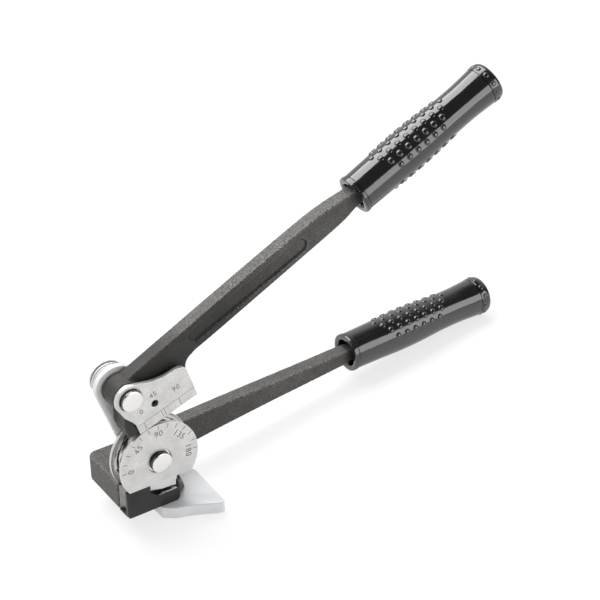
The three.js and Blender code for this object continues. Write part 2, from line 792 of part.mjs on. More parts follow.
// Pivot pin, spring and upper handle at the link's far end
const pivot = new THREE.Group();
pivot.position.z = linkLength;
swing.add(pivot);
const washerFront = springBack + gap;
const pivotRingFront = washerFront + springWasherThickness + gap;
pivot.add(meshOf('pivot_pin', makePin(shoePinProud, pinFlangeSeat, pivotRingFront), bright));
pivot.add(meshOf('spring_washer',
  ring(springOuterRadius, boreRadius, washerFront, washerFront + springWasherThickness), plated));
pivot.add(meshOf('pivot_pin_ring', makeRetainingRing(pivotRingFront), satinBlack));
const coil = makeSpring();
console.log(`least gap between spring turns: ${leastCoilGap(coil.centres).toFixed(2)} mm`);
const spring = new THREE.Mesh(coil.geometry, bright);
spring.name = 'handle_spring';
pivot.add(spring);
pivot.add(meshOf('bending_shoe', makeShoe(), machined));
pivot.add(meshOf('shoe_set_screw', makeSetScrew(), satinBlack));
pivot.add(meshOf('upper_handle', makeUpperHandle(), castBlack));
const upperGrip = meshOf('upper_grip', makeGrip(), vinyl);
const [upperMouthX, upperMouthZ] = alongBar([upperBarLength, upperAxisLift]);
upperGrip.rotation.y = -upperGripRise;
upperGrip.position.set(upperMouthX, upperBarFront + barThickness / 2, upperMouthZ);
pivot.add(upperGrip);

// Stand the tool on the lever's far corner and the lower grip's flange
const restTilt = Math.atan2(restFlangeZ - leverBottom, restFlangeX - restCornerX);
tool.rotation.y = restTilt;
tool.updateMatrixWorld(true);
const bounds = new THREE.Box3().setFromObject(tool, true);
const middle = bounds.getCenter(new THREE.Vector3());
tool.position.set(-middle.x, -middle.y, -bounds.min.z);
const group = new THREE.Group();
group.add(tool);
group.updateMatrixWorld(true);

const pivotAt = pivot.getWorldPosition(new THREE.Vector3());
const mandrelAt = tool.getWorldPosition(new THREE.Vector3());
const latchAt = tool.localToWorld(new THREE.Vector3(latchX, latchY, leverBottom));
console.log(`rest tilt: ${THREE.MathUtils.radToDeg(restTilt).toFixed(3)} degrees`);
console.log(`mandrel axis: ${mandrelAt.toArray().map((v) => v.toFixed(3))}`);
console.log(`shoe pivot: ${pivotAt.toArray().map((v) => v.toFixed(3))}`);
console.log(`latch axis: ${latchAt.toArray().map((v) => v.toFixed(3))}`);
export default group;
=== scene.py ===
# A lever tube bender for one size of tube, standing on its thumb lever and on its lower grip.
import json
import math

import bmesh
import bpy
from mathutils import Matrix, Vector


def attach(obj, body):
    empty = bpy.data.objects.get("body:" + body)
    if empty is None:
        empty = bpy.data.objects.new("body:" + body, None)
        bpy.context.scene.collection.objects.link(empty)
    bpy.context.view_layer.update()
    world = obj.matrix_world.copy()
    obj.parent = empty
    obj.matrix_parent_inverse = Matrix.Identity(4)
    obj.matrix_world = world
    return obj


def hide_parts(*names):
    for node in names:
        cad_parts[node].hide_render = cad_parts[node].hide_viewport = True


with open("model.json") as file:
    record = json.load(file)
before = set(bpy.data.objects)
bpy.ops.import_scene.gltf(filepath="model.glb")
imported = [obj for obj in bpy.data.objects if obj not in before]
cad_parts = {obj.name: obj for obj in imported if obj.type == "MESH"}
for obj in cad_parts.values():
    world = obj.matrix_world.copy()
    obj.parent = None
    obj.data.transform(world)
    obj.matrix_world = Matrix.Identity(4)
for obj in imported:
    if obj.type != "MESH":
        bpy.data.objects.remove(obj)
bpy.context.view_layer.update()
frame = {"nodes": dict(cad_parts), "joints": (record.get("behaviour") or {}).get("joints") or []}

# Lower handle: a blackened steel forging. Its square block is held in a vise, a boss carries the
# mandrel's pin, and a flat tapering bar runs out to a thin tang inside the grip.

# Sizes are millimetres on the tool's own axes. The mandrel's pin is the origin, X runs along this
# handle, Y goes back from the dial and Z points to the dial's 90. The tool leans to stand.
joints = {joint["name"]: joint for joint in frame["joints"]}
latch_axis = Vector(joints["latch_turn"]["axis"])
lean = math.atan2(latch_axis.x, latch_axis.z)
millimetre = 0.001
tool_axes = (
    Matrix.Translation(joints["link_swing"]["pos_m"])
    @ Matrix.Rotation(lean, 4, "Y")
    @ Matrix.Scale(millimetre, 4)
)

gap, lap, overrun = 0.3, 1, 3
pin_radius = 6.35
block_left, block_right = -21.6, 19.5
block_low, block_high = -31.4, -14.5
block_front, block_back = 5.5, 48
block_corner, block_edge = 5, 2.0
seat_right, seat_back = -7.5, 11.05
wall_left, wall_right, wall_front = 11.6, 13.4, 2.95
slope_back = 8.1
latch_x, latch_y = 9, 10.5
pocket_radius, pocket_bottom = 7.7, 24.3
boss_radius, boss_front, boss_back = 9.4, 19, 30
spot_face_radius = 9.6
bridge_foot = -17
root_left, root_top = -4.7, -5.8
bar_front, bar_back, bar_edge = 29.5, 38.5, 1.2
tang_half_height, tang_reach = 3.6, 96
mouth_depth = 7
lower_mouth, lower_axis_drop = 149.7, 2.45
lower_grip_rise = math.radians(3.4)


def smooth_line(points, steps=6):
    """A curve that passes smoothly through each point in turn."""
    line = []
    for i in range(len(points) - 1):
        before = points[max(i - 1, 0)]
        start, end = points[i], points[i + 1]
        after = points[min(i + 2, len(points) - 1)]
        for k in range(steps):
            t = k / steps
            line.append(tuple(
                0.5 * (
                    2 * b + (c - a) * t + (2 * a - 5 * b + 4 * c - d) * t * t
                    + (3 * b - a - 3 * c + d) * t ** 3
                )
                for a, b, c, d in zip(before, start, end, after)
            ))
    return line + [points[-1]]


def arc(radius, start, end, steps, centre=(0, 0)):
    turns = [math.radians(start + (end - start) * k / steps) for k in range(steps + 1)]
    return [(centre[0] + radius * math.cos(a), centre[1] + radius * math.sin(a)) for a in turns]


def oblong(left, right, low, high):
    return [(left, low), (right, low), (right, high), (left, high)]


def to_mesh(name, shape):
    bmesh.ops.remove_doubles(shape, verts=shape.verts, dist=0.0005)
    bmesh.ops.recalc_face_normals(shape, faces=shape.faces)
    mesh = bpy.data.meshes.new(name)
    shape.to_mesh(mesh)
    shape.free()
    return mesh


def prism(near, far):
    shape = bmesh.new()
    first = [shape.verts.new(point) for point in near]
    last = [shape.verts.new(point) for point in far]
    shape.faces.new(first)
    shape.faces.new(last)
    for i in range(len(first)):
        j = (i + 1) % len(first)
        shape.faces.new((first[i], first[j], last[j], last[i]))
    return to_mesh("prism", shape)


def slab(outline, front, back):
    """An X-Z outline with a thickness in Y."""
    return prism([(x, front, z) for x, z in outline], [(x, back, z) for x, z in outline])


def plate(outline, low, high):
    """An X-Y outline with a thickness in Z."""
    return prism([(x, y, low) for x, y in outline], [(x, y, high) for x, y in outline])


def turned(profile, sides=96):
    """A profile of radius and Y, turned round the Y axis."""
    shape = bmesh.new()
    rows = []
    for radius, y in profile:
        if radius == 0:
            rows.append([shape.verts.new((0, y, 0))] * sides)
        else:
            turns = [2 * math.pi * k / sides for k in range(sides)]
            ring = [(radius * math.cos(a), y, radius * math.sin(a)) for a in turns]
            rows.append([shape.verts.new(point) for point in ring])
    closed = profile[0][0] > 0
    for i in range(len(rows) if closed else len(rows) - 1):
        here, there = rows[i], rows[(i + 1) % len(rows)]
        for k in range(sides):
            j = (k + 1) % sides
            corners = list(dict.fromkeys((here[k], here[j], there[j], there[k])))
            if len(corners) > 2:
                shape.faces.new(corners)
    return to_mesh("turned", shape)


def rod(radius, front, back, sides=64):
    return turned([(0, front), (radius, front), (radius, back), (0, back)], sides)


def moved(mesh, *steps):
    for step in steps:
        mesh.transform(step)
    return mesh


def hung(mesh):
    """Turns a mesh so that what pointed back points down."""
    return moved(mesh, Matrix.Rotation(math.radians(-90), 4, "X"))


def together(*meshes):
    shape = bmesh.new()
    for mesh in meshes:
        shape.from_mesh(mesh)
    joined = bpy.data.meshes.new("joined")
    shape.to_mesh(joined)
    shape.free()
    return joined


def worked(mesh, *steps):
    """A copy of a mesh with modifiers applied, each given as its kind and its settings."""
    worker = bpy.data.objects.new("worker", mesh)
    bpy.context.scene.collection.objects.link(worker)
    cutters = []
    for kind, settings in steps:
        modifier = worker.modifiers.new(kind.lower(), kind)
        for setting, value in settings.items():
            if isinstance(value, bpy.types.Mesh):
                value = bpy.data.objects.new("cutter", value)
                bpy.context.scene.collection.objects.link(value)
                cutters.append(value)
            setattr(modifier, setting, value)
    depsgraph = bpy.context.evaluated_depsgraph_get()
    result = bpy.data.meshes.new_from_object(worker.evaluated_get(depsgraph))
    for spare in (worker, *cutters):
        bpy.data.objects.remove(spare)
    return result


def cut(mesh, *cutters):
    saw = {"operation": "DIFFERENCE", "solver": "EXACT"}
    return worked(mesh, *[("BOOLEAN", {**saw, "object": cutter}) for cutter in cutters])


def eased(mesh, width, segments=3, angle=32):
    """Rounds the edges that are sharper than an angle in degrees."""
    limit = {"limit_method": "ANGLE", "angle_limit": math.radians(angle)}
    return worked(mesh, ("BEVEL", {"width": width, "segments": segments, **limit}))


def cast(mesh, voxel=0.48, softness=8):
    """Melts overlapping solids into one, with the soft inner corners of a forging."""
    return worked(
        mesh,
        ("REMESH", {"mode": "VOXEL", "voxel_size": voxel}),
        ("SMOOTH", {"factor": 0.5, "iterations": softness}),
    )


def tang():
    half = (bar_back - bar_front) / 2
    return slab(oblong(-mouth_depth, tang_reach, -tang_half_height, tang_half_height), -half, half)


at_latch = Matrix.Translation((latch_x, latch_y, 0))
block_plan = [
    (block_left, seat_back), (seat_right, seat_back), (seat_right, block_front),
    (wall_left, block_front), (wall_left, wall_front), (wall_right, wall_front),
    (block_right, slope_back),
    *arc(block_corner, 0, 90, 8, (block_right - block_corner, block_back - block_corner)),
    *arc(block_corner, 90, 180, 8, (block_left + block_corner, block_back - block_corner)),
]
block = cut(
    eased(plate(block_plan, block_low, block_high), block_edge, segments=4, angle=60),
    moved(hung(rod(pocket_radius, 0, pocket_bottom)), at_latch),
)
bridge_outline = [
    (-boss_radius, 0), (-boss_radius, bridge_foot), (block_right, bridge_foot), (block_right, block_high),
    (boss_radius, 0),
]
root_outline = [
    (root_left, bridge_foot), (block_right, bridge_foot), (block_right, root_top), (0, root_top),
]
lower_top = smooth_line([
    (-1, -4.4), (31, -3.6), (59, -2.3), (84, -1.2), (120, 0.25), (143, 1.4), (150, 1.6),
])
lower_bottom = smooth_line([
    (150, -7.2), (143, -8.0), (113, -11.4), (92, -13.7), (58, -17.95), (40, -20.5), (20, -22.4),
])
lower_grip_axes = (
    Matrix.Translation((lower_mouth, (bar_front + bar_back) / 2, -lower_axis_drop))
    @ Matrix.Rotation(-lower_grip_rise, 4, "Y")
)
lower_blank = cast(together(
    block,
    rod(boss_radius, boss_front, boss_back),
    slab(bridge_outline, boss_front, boss_back),
    slab(root_outline, boss_back - lap, bar_back),
    eased(slab(lower_top + lower_bottom, bar_front, bar_back), bar_edge),
    moved(tang(), lower_grip_axes),
))

# The block's front right corner is cut off on a slant that runs back, right and down.
slant_edge = [(19.0, -34.0), (16.3, -28.1), (11.3, -17.3), (9.2, -12.8), (30, -12.8), (30, -34.0)]
slant_run = Vector((0.48, 0.708, -0.518))
slant_lead, slant_length = 9, 50
slant_start = Vector((0, wall_front, 0)) - slant_run * slant_lead
slant_near = [Vector((x, 0, z)) + slant_start for x, z in slant_edge]
slant = prism(slant_near, [point + slant_run * slant_length for point in slant_near])
lower_forging = cut(
    lower_blank,
    rod(spot_face_radius, boss_back, bar_back + overrun),
    rod(pin_radius + gap, boss_front - overrun, bar_back + overrun),
    slant,
)


def linear(hex_colour):
    channels = [int(hex_colour[i:i + 2], 16) / 255 for i in (1, 3, 5)]
    return [c / 12.92 if c < 0.04045 else ((c + 0.055) / 1.055) ** 2.4 for c in channels] + [1]


def new_group(name, inputs, outputs):
    group = bpy.data.node_groups.new(name, "ShaderNodeTree")
    for socket, default in inputs.items():
        given = group.interface.new_socket(socket, in_out="INPUT", socket_type="NodeSocketFloat")
        given.default_value = default
    for socket, kind in outputs.items():
        group.interface.new_socket(socket, in_out="OUTPUT", socket_type=kind)
    return group, group.nodes.new("NodeGroupInput"), group.nodes.new("NodeGroupOutput")


def maths(tree, operation, first, second):
    node = tree.nodes.new("ShaderNodeMath")
    node.operation = operation
    node.use_clamp = True
    for socket, value in zip(node.inputs, (first, second)):
        if isinstance(value, (int, float)):
            socket.default_value = value
        else:
            tree.links.new(value, socket)
    return node.outputs[0]


def mixed(tree, factor, first, second):
    node = tree.nodes.new("ShaderNodeMix")
    node.data_type = "RGBA"
    for name, value in (("Factor", factor), ("A", first), ("B", second)):
        if isinstance(value, (int, float, list)):
            node.inputs[name].default_value = value
        else:
            tree.links.new(value, node.inputs[name])
    return node.outputs["Result"]


def spread(tree, value, low, high, from_low=0.3, from_high=0.7):
    """Maps the range from_low to from_high onto low to high, and holds it there outside."""
    node = tree.nodes.new("ShaderNodeMapRange")
    tree.links.new(value, node.inputs["Value"])
    node.inputs["From Min"].default_value = from_low
    node.inputs["From Max"].default_value = from_high
    node.inputs["To Min"].default_value = low
    node.inputs["To Max"].default_value = high
    return node.outputs["Result"]


def build_grain():
    """Fine specks with their own bump, and large soft patches."""
    group, given, out = new_group(
        "grain",
        {"Grain Scale": 1400.0, "Patch Scale": 60.0, "Depth": 0.00005},
        {"Speck": "NodeSocketFloat", "Patch": "NodeSocketFloat", "Normal": "NodeSocketVector"},
    )
    links = group.links
    place = group.nodes.new("ShaderNodeTexCoord")
    fine = group.nodes.new("ShaderNodeTexNoise")
    fine.inputs["Detail"].default_value = 3
    patch = group.nodes.new("ShaderNodeTexNoise")
    patch.inputs["Detail"].default_value = 4
    bump = group.nodes.new("ShaderNodeBump")
    bump.inputs["Strength"].default_value = 1
    for noise, scale in ((fine, "Grain Scale"), (patch, "Patch Scale")):
        links.new(place.outputs["Object"], noise.inputs["Vector"])
        links.new(given.outputs[scale], noise.inputs["Scale"])
    links.new(given.outputs["Depth"], bump.inputs["Distance"])
    links.new(fine.outputs["Fac"], bump.inputs["Height"])
    links.new(fine.outputs["Fac"], out.inputs["Speck"])
    links.new(patch.outputs["Fac"], out.inputs["Patch"])
    links.new(bump.outputs["Normal"], out.inputs["Normal"])
    return group


def build_hollows():
    """Masks of the inner corners, for painted shade, and of the ridges, which get rubbed."""
    group, given, out = new_group(
        "hollows", {"Width": 0.05}, {"Hollow": "NodeSocketFloat", "Ridge": "NodeSocketFloat"}
    )
    links = group.links
    bend = group.nodes.new("ShaderNodeNewGeometry")
    for name, sign in (("Hollow", "SUBTRACT"), ("Ridge", "ADD")):
        limit = group.nodes.new("ShaderNodeMath")
        limit.operation = sign
        limit.inputs[0].default_value = 0.5
        rise = group.nodes.new("ShaderNodeMapRange")
        rise.inputs["From Min"].default_value = 0.5
        links.new(given.outputs["Width"], limit.inputs[1])
        links.new(limit.outputs[0], rise.inputs["From Max"])
        links.new(bend.outputs["Pointiness"], rise.inputs["Value"])
        links.new(rise.outputs["Result"], out.inputs[name])
    return group


grain = build_grain()
hollows = build_hollows()


def in_group(tree, group, **values):
    node = tree.nodes.new("ShaderNodeGroup")
    node.node_tree = group
    for name, value in values.items():
        node.inputs[name.replace("_", " ")].default_value = value
    return node


def new_material(name):
    material = bpy.data.materials.new(name)
    material.use_nodes = True
    tree = material.node_tree
    return material, tree, tree.nodes["Principled BSDF"]


# Where, in metres along the frame's X, the painted shade on the knuckle and round the head fades out.
knuckle_fade = (-0.1, -0.08)
head_fade = (-0.06, -0.01)


def make_forging(name, knuckle_shade, face_shade, top_light):
    """Shot blasted black steel. Painted shade darkens the head and the hollows; painted light makes the top
    paler.
    """
    material, tree, surface = new_material(name)
    skin = in_group(tree, grain, Grain_Scale=1500, Patch_Scale=120, Depth=0.00042)
    form = in_group(tree, hollows)
    specks = spread(tree, skin.outputs["Speck"], 0, 1, 0.4, 0.62)
    patches = spread(tree, skin.outputs["Patch"], 0.25, 1)
    base = mixed(tree, maths(tree, "MULTIPLY", specks, patches), linear("#2f2e2c"), linear("#676460"))
    on_ridge = maths(tree, "MULTIPLY", form.outputs["Ridge"], specks)
    rubbed = mixed(tree, on_ridge, base, linear("#83817d"))
    # Painted shade: the inner corners are darkened.
    hollow_shade = maths(tree, "MULTIPLY", form.outputs["Hollow"], 0.85)
    shaded = mixed(tree, hollow_shade, rubbed, linear("#151413"))
    place = tree.nodes.new("ShaderNodeTexCoord")
    along = tree.nodes.new("ShaderNodeSeparateXYZ")
    tree.links.new(place.outputs["Object"], along.inputs[0])
    side = tree.nodes.new("ShaderNodeSeparateXYZ")
    tree.links.new(place.outputs["Normal"], side.inputs[0])
    facing = tree.nodes.new("ShaderNodeMath")
    facing.operation = "ABSOLUTE"
    tree.links.new(side.outputs["Y"], facing.inputs[0])
    # Painted shade: darker on the knuckle, and on the faces near the head that turn to the front.
    on_knuckle = spread(tree, along.outputs["X"], knuckle_shade, 0, *knuckle_fade)
    near_head = spread(tree, along.outputs["X"], face_shade, 0, *head_fade)
    # Painted light: the faces that look up are made paler, away from the knuckle.
    on_top = spread(tree, side.outputs["Z"], 0, top_light, 0.55, 0.85)
    off_knuckle = spread(tree, along.outputs["X"], 0, 1, *knuckle_fade)
    top_light_mask = maths(tree, "MULTIPLY", maths(tree, "MULTIPLY", on_top, off_knuckle), specks)
    on_face = maths(tree, "MULTIPLY", near_head, facing.outputs[0])
    head_shade = maths(tree, "MAXIMUM", on_knuckle, on_face)
    paler = mixed(tree, top_light_mask, shaded, linear("#b5b1ac"))
    tree.links.new(mixed(tree, head_shade, paler, linear("#191817")), surface.inputs["Base Color"])
    tree.links.new(spread(tree, skin.outputs["Patch"], 0.42, 0.6), surface.inputs["Roughness"])
    tree.links.new(skin.outputs["Normal"], surface.inputs["Normal"])
    surface.inputs["Metallic"].default_value = 0.25
    return material


def add_piece(name, mesh, axes, body, material, nodes=(), crease=35):
    """Puts a mesh in the scene. Edges sharper than crease degrees stay sharp in the shading."""
    mesh.transform(axes)
    mesh.name = name
    mesh.materials.clear()
    mesh.materials.append(material)
    mesh.shade_smooth()
    if crease:
        mesh.set_sharp_from_angle(angle=math.radians(crease))
    thing = bpy.data.objects.new(name, mesh)
    bpy.context.scene.collection.objects.link(thing)
    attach(thing, body)
    if nodes:
        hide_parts(*nodes)


forging = make_forging("black_forging", knuckle_shade=0, face_shade=0.4, top_light=0.03)
add_piece(
    "lower_handle_forging", lower_forging, tool_axes, "lower_body", forging,
    ["lower_handle"], crease=None,
)

# Upper handle: the second forging. Its knuckle turns on the shoe's pin, a web backs the shoe, the
# heel follows the bend round, and the long bar has a shallow recess on its face.
pivot_in_tool = tool_axes.inverted() @ Vector(joints["handle_lift"]["pos_m"])
link_length = pivot_in_tool.length
link_angle = math.atan2(pivot_in_tool.x, pivot_in_tool.z)
link_axes = tool_axes @ Matrix.Rotation(link_angle, 4, "Y")
shoe_axes = link_axes @ Matrix.Translation((0, 0, link_length))

tube_radius = 4.81
bend_radius = 23.8
groove_y = 6.8
knuckle_radius, knuckle_edge = 9.4, 0.6
knuckle_front, knuckle_back = 0.75, 13.6
shoe_edge, skirt_top, skirt_left = -26.2, -18, -3.1
bar_rise = math.radians(6.5)
upper_front, upper_back, upper_edge = 3.4, 12.4, 1.0
upper_mouth, upper_axis_lift = 168, 0.7
upper_grip_rise = math.radians(7.4)
web_right, web_neck, web_fillet = 36.5, -10.6, 7.6
heel_left, heel_right = -9.4, -3.4
recess_near, recess_near_radius = (49, 1.6), 3.6
recess_far, recess_far_radius = (126, 1.2), 4.5
recess_low, recess_depth = -3.3, 1.3
recess_foot_far, recess_foot_radius = (126.2, 1.0), 3.3
recess_foot_low, recess_foot_depth = -2.2, 1.9
before_face = -5

along_bar = Matrix.Rotation(-bar_rise, 4, "Y")
bar_top = smooth_line([
    (171, 5.8), (164.5, 6.7), (156, 8.1), (148, 9.1), (136, 9.8), (105, 9.7), (70, 9.2), (0, 7.9),
])
bar_bottom = smooth_line([
    (0, 0), (20, -3.5), (40, -7.3), (93, -6.85), (123, -6.25), (153, -5.5), (164.5, -3.6), (171, -3.4),
])
recess = slab(
    [(46, recess_low)] + arc(recess_far_radius, -84, 84, 12, recess_far)
    + arc(recess_near_radius, 96, 264, 8, recess_near),
    before_face, upper_front + recess_depth,
)
recess_foot = slab(
    [(48, recess_low)] + arc(recess_far_radius, -84, 70, 12, recess_far)
    + arc(recess_foot_radius, 70, -84, 12, recess_foot_far) + [(48, recess_foot_low)],
    before_face, upper_front + recess_foot_depth,
)
upper_bar = cut(
    eased(slab(bar_bottom + bar_top, upper_front, upper_back), upper_edge),
    recess,
    recess_foot,
)
web = slab(
    [(-4.6, 7.4), (skirt_left, skirt_top + gap), (web_right, skirt_top + gap)]
    + arc(web_fillet, 180, 97, 10, (web_right + web_fillet, web_neck))
    + [(52, 0), (8, 8)],
    upper_front, knuckle_back,
)
bent_tube = moved(
    turned(arc(tube_radius, 0, 345, 23, (bend_radius, 0)), sides=128),
    Matrix.Translation((0, groove_y, -link_length)),
)
heel_outline = (
    [(-8.6, 0), (-7.2, -10), (-7.8, -13.5), (heel_left, -17.5)]
    + arc(-shoe_edge, -111, -97.5, 4)
    + [(heel_right, 0)]
)
mouth = along_bar @ Vector((upper_mouth, 0, upper_axis_lift))
upper_grip_axes = (
    Matrix.Translation((mouth.x, (upper_front + upper_back) / 2, mouth.z))
    @ Matrix.Rotation(-upper_grip_rise, 4, "Y")
)
upper_blank = together(
    eased(rod(knuckle_radius, knuckle_front, knuckle_back), knuckle_edge),
    web,
    cut(slab(heel_outline, knuckle_front, knuckle_back), bent_tube),
    moved(upper_bar, along_bar),
    moved(tang(), upper_grip_axes),
)
upper_forging = cut(
    cast(upper_blank, voxel=0.42, softness=9), rod(pin_radius + gap, 0, knuckle_back + overrun)
)
# The upper forging gets stronger painted shade on its knuckle and head, and more painted light on top.
head_shaded_forging = make_forging("black_forging_head_shaded", knuckle_shade=0.65, face_shade=0.8, top_light=0.14)
add_piece(
    "upper_handle_forging", upper_forging, shoe_axes, "upper_body", head_shaded_forging,
    ["upper_handle"], crease=None,
)

# Grips: dipped black vinyl, glossy, pulled over each tang. The barrel swells under the palm and
# carries a pad of round nubs on top and one below, and the end flange has a ring of its own.
grip_mouth = [
    (0, mouth_depth), (8.2, mouth_depth), (8.2, 1.4), (8.8, 0.5), (9.6, 0.3), (11.2, 0.3), (11.8, 0.6),
    (11.95, 1.2), (11.95, 3.0), (11.75, 3.2), (11.3, 3.3), (11.3, 3.7), (11.6, 4.0),
]
grip_barrel = smooth_line([
    (11.6, 4.0), (11.75, 10), (12.0, 22), (12.4, 34), (12.45, 43), (12.25, 52), (11.85, 60),
    (11.4, 68), (11.25, 76), (11.25, 84), (11.5, 90), (11.85, 96), (12.0, 98.4),
], steps=4)
grip_end = [
    (11.6, 98.6), (11.6, 98.9), (12.0, 99.1), (12.15, 99.6), (12.15, 103.4), (11.9, 104.7),
    (11.2, 105.6), (10.0, 106), (0, 106),
]
nub_shape = ((1.15, -0.1), (1.0, 0.08), (0.92, 0.4), (0.76, 0.7), (0.46, 0.92), (0, 1))
nub_root, nub_spread = -0.8, 1.2
nub_radius, nub_height, nub_pitch = 1.75, 0.75, 6.5
nub_rows = (6, 7, 8, 9, 8, 7, 6)
nub_row_turn = math.radians(24)
nub_middle_row = math.radians(84)
flange_nubs, flange_nub_radius, flange_nub_height = 12, 1.5, 0.6
flange_nub_out, flange_nub_along, flange_nub_start = 12.1, 101.5, 0.3
collar_dots, collar_dot_radius, collar_dot_height = 44, 0.3, 0.2
collar_dot_out, collar_dot_along = 11.9, 1.5


def nub(radius, height, out, turn, along, sides=16):
    """A round bump with a soft foot that stands on the grip, a distance out from its axis."""
    bump = [(radius * across, height * up) for across, up in nub_shape]
    root = [(0, nub_root), (radius * nub_spread, nub_root)]
    return moved(
        turned(root + bump, sides),
        Matrix.Translation((0, out, 0)),
        Matrix.Rotation(turn, 4, "X"),
        Matrix.Translation((along, 0, 0)),
    )


def barrel_radius(along):
    for (near_radius, near), (far_radius, far) in zip(grip_barrel, grip_barrel[1:]):
        if near <= along <= far:
            return near_radius + (far_radius - near_radius) * (along - near) / (far - near)


def nub_pad(middle, side, first_row):
    """One pad of nubs. Its first rows may be left out."""
    pad = []
    for row in range(first_row, len(nub_rows)):
        angle = nub_middle_row + side + (row - (len(nub_rows) - 1) / 2) * nub_row_turn
        for k in range(nub_rows[row]):
            along = middle + (k - (nub_rows[row] - 1) / 2) * nub_pitch
            pad.append(nub(nub_radius, nub_height, barrel_radius(along), angle, along))
    return pad


def make_grip(middle, rows_left_out):
    body = turned(grip_mouth + grip_barrel[1:] + grip_end, sides=112)
    body.transform(Matrix.Rotation(math.radians(-90), 4, "Z"))
    bumps = nub_pad(middle, 0, 0) + nub_pad(middle, math.pi, rows_left_out)
    for k in range(flange_nubs):
        angle = nub_middle_row + 2 * math.pi * (k + flange_nub_start) / flange_nubs
        bumps.append(nub(flange_nub_radius, flange_nub_height, flange_nub_out, angle, flange_nub_along))
    for k in range(collar_dots):
        angle = 2 * math.pi * k / collar_dots
        dot = nub(collar_dot_radius, collar_dot_height, collar_dot_out, angle, collar_dot_along, sides=8)
        bumps.append(dot)
    return together(body, *bumps)


def make_vinyl():
    """Glossy black vinyl with the faint ripple of a dipped skin."""
    material, tree, surface = new_material("black_vinyl")
    skin = in_group(tree, grain, Grain_Scale=110, Patch_Scale=45, Depth=0.00011)
    colour = mixed(tree, skin.outputs["Patch"], linear("#0a0a0b"), linear("#151517"))
    tree.links.new(colour, surface.inputs["Base Color"])
    tree.links.new(spread(tree, skin.outputs["Patch"], 0.07, 0.16), surface.inputs["Roughness"])
    tree.links.new(skin.outputs["Normal"], surface.inputs["Normal"])
    surface.inputs["IOR"].default_value = 1.6
    surface.inputs["Specular IOR Level"].default_value = 0.75
    return material


vinyl = make_vinyl()
grips = (
    ("lower_grip_sleeve", "lower_grip", "lower_body", tool_axes @ lower_grip_axes, 49.2, 3),
    ("upper_grip_sleeve", "upper_grip", "upper_body", shoe_axes @ upper_grip_axes, 46.2, 1),
)
for name, node, body, axes, pad_middle, rows_left_out in grips:
    grip = make_grip(pad_middle, rows_left_out)
    add_piece(name, grip, axes, body, vinyl, [node], crease=40)

# Forming mandrel: a machined steel disc with the half-round groove that the tube bends round. Its
# foot is flat, its hub is counterbored, and its face is marked every fifteen degrees.
mandrel_radius, mandrel_depth = 24.5, 13.6
counterbore_radius, counterbore_depth = 7.2, 2.6
foot_drop = 14.2
foot_box = (-30, 30, -30, -foot_drop)
tick_length, tick_width, tick_reach = 2.9, 0.3, 22.4
figure_height, figure_reach = 3.8, 18.1
mark_depth = 0.05
size_for_height, letter_thinning, letter_spacing = 1.38, -0.035, 1.12


def build_edge_wear():
    """A mask of the sharp edges, broken up in patches."""
    group, given, out = new_group(
        "edge_wear", {"Radius": 0.0006, "Break Up": 900.0}, {"Mask": "NodeSocketFloat"}
    )
    links = group.links
    bevel = group.nodes.new("ShaderNodeBevel")
    bevel.samples = 4
    flat = group.nodes.new("ShaderNodeNewGeometry")
    dot = group.nodes.new("ShaderNodeVectorMath")
    dot.operation = "DOT_PRODUCT"
    patches = group.nodes.new("ShaderNodeTexNoise")
    place = group.nodes.new("ShaderNodeTexCoord")
    rise = group.nodes.new("ShaderNodeMapRange")
    rise.inputs["From Min"].default_value = 0.995
    rise.inputs["From Max"].default_value = 0.86
    links.new(given.outputs["Radius"], bevel.inputs["Radius"])
    links.new(bevel.outputs["Normal"], dot.inputs[0])
    links.new(flat.outputs["Normal"], dot.inputs[1])
    links.new(place.outputs["Object"], patches.inputs["Vector"])
    links.new(given.outputs["Break Up"], patches.inputs["Scale"])
    links.new(dot.outputs["Value"], rise.inputs["Value"])
    wear_and_sheen = maths(group, "MULTIPLY", rise.outputs["Result"], patches.outputs["Fac"])
    links.new(wear_and_sheen, out.inputs["Mask"])
    return group


edge_wear = build_edge_wear()


def make_metal(name, colours, roughness, metallic, grain_scale, patch_scale, depth, wear_radius):
    """A metal finish. Its colours are the dark, the light and the worn edge's, lengths in metres."""
    dark, light, wear_and_sheen = colours
    material, tree, surface = new_material(name)
    skin = in_group(tree, grain, Grain_Scale=grain_scale, Patch_Scale=patch_scale, Depth=depth)
    wear = in_group(tree, edge_wear, Radius=wear_radius)
    specks = spread(tree, skin.outputs["Speck"], 0, 1)
    patches = spread(tree, skin.outputs["Patch"], 0, 1)
    base = mixed(tree, maths(tree, "MULTIPLY", specks, patches), linear(dark), linear(light))
    colour = mixed(tree, wear.outputs["Mask"], base, linear(wear_and_sheen))
    tree.links.new(colour, surface.inputs["Base Color"])
    tree.links.new(spread(tree, skin.outputs["Patch"], *roughness), surface.inputs["Roughness"])
    tree.links.new(skin.outputs["Normal"], surface.inputs["Normal"])
    surface.inputs["Metallic"].default_value = metallic
    return material


machined = make_metal(
    "machined_steel", ("#c0bfbd", "#e3e2e0", "#f4f4f3"), roughness=(0.3, 0.44), metallic=0.8,
    grain_scale=1500, patch_scale=130, depth=0.00003, wear_radius=0.0005,
)


def make_paint():
    """Black paint, dried into the cut marks."""
    material, tree, surface = new_material("engraving_black")
    skin = in_group(tree, grain)
    colour = mixed(tree, skin.outputs["Speck"], linear("#262524"), linear("#5c5a57"))
    tree.links.new(colour, surface.inputs["Base Color"])
    tree.links.new(spread(tree, skin.outputs["Speck"], 0.5, 0.8), surface.inputs["Roughness"])
    return material


paint = make_paint()


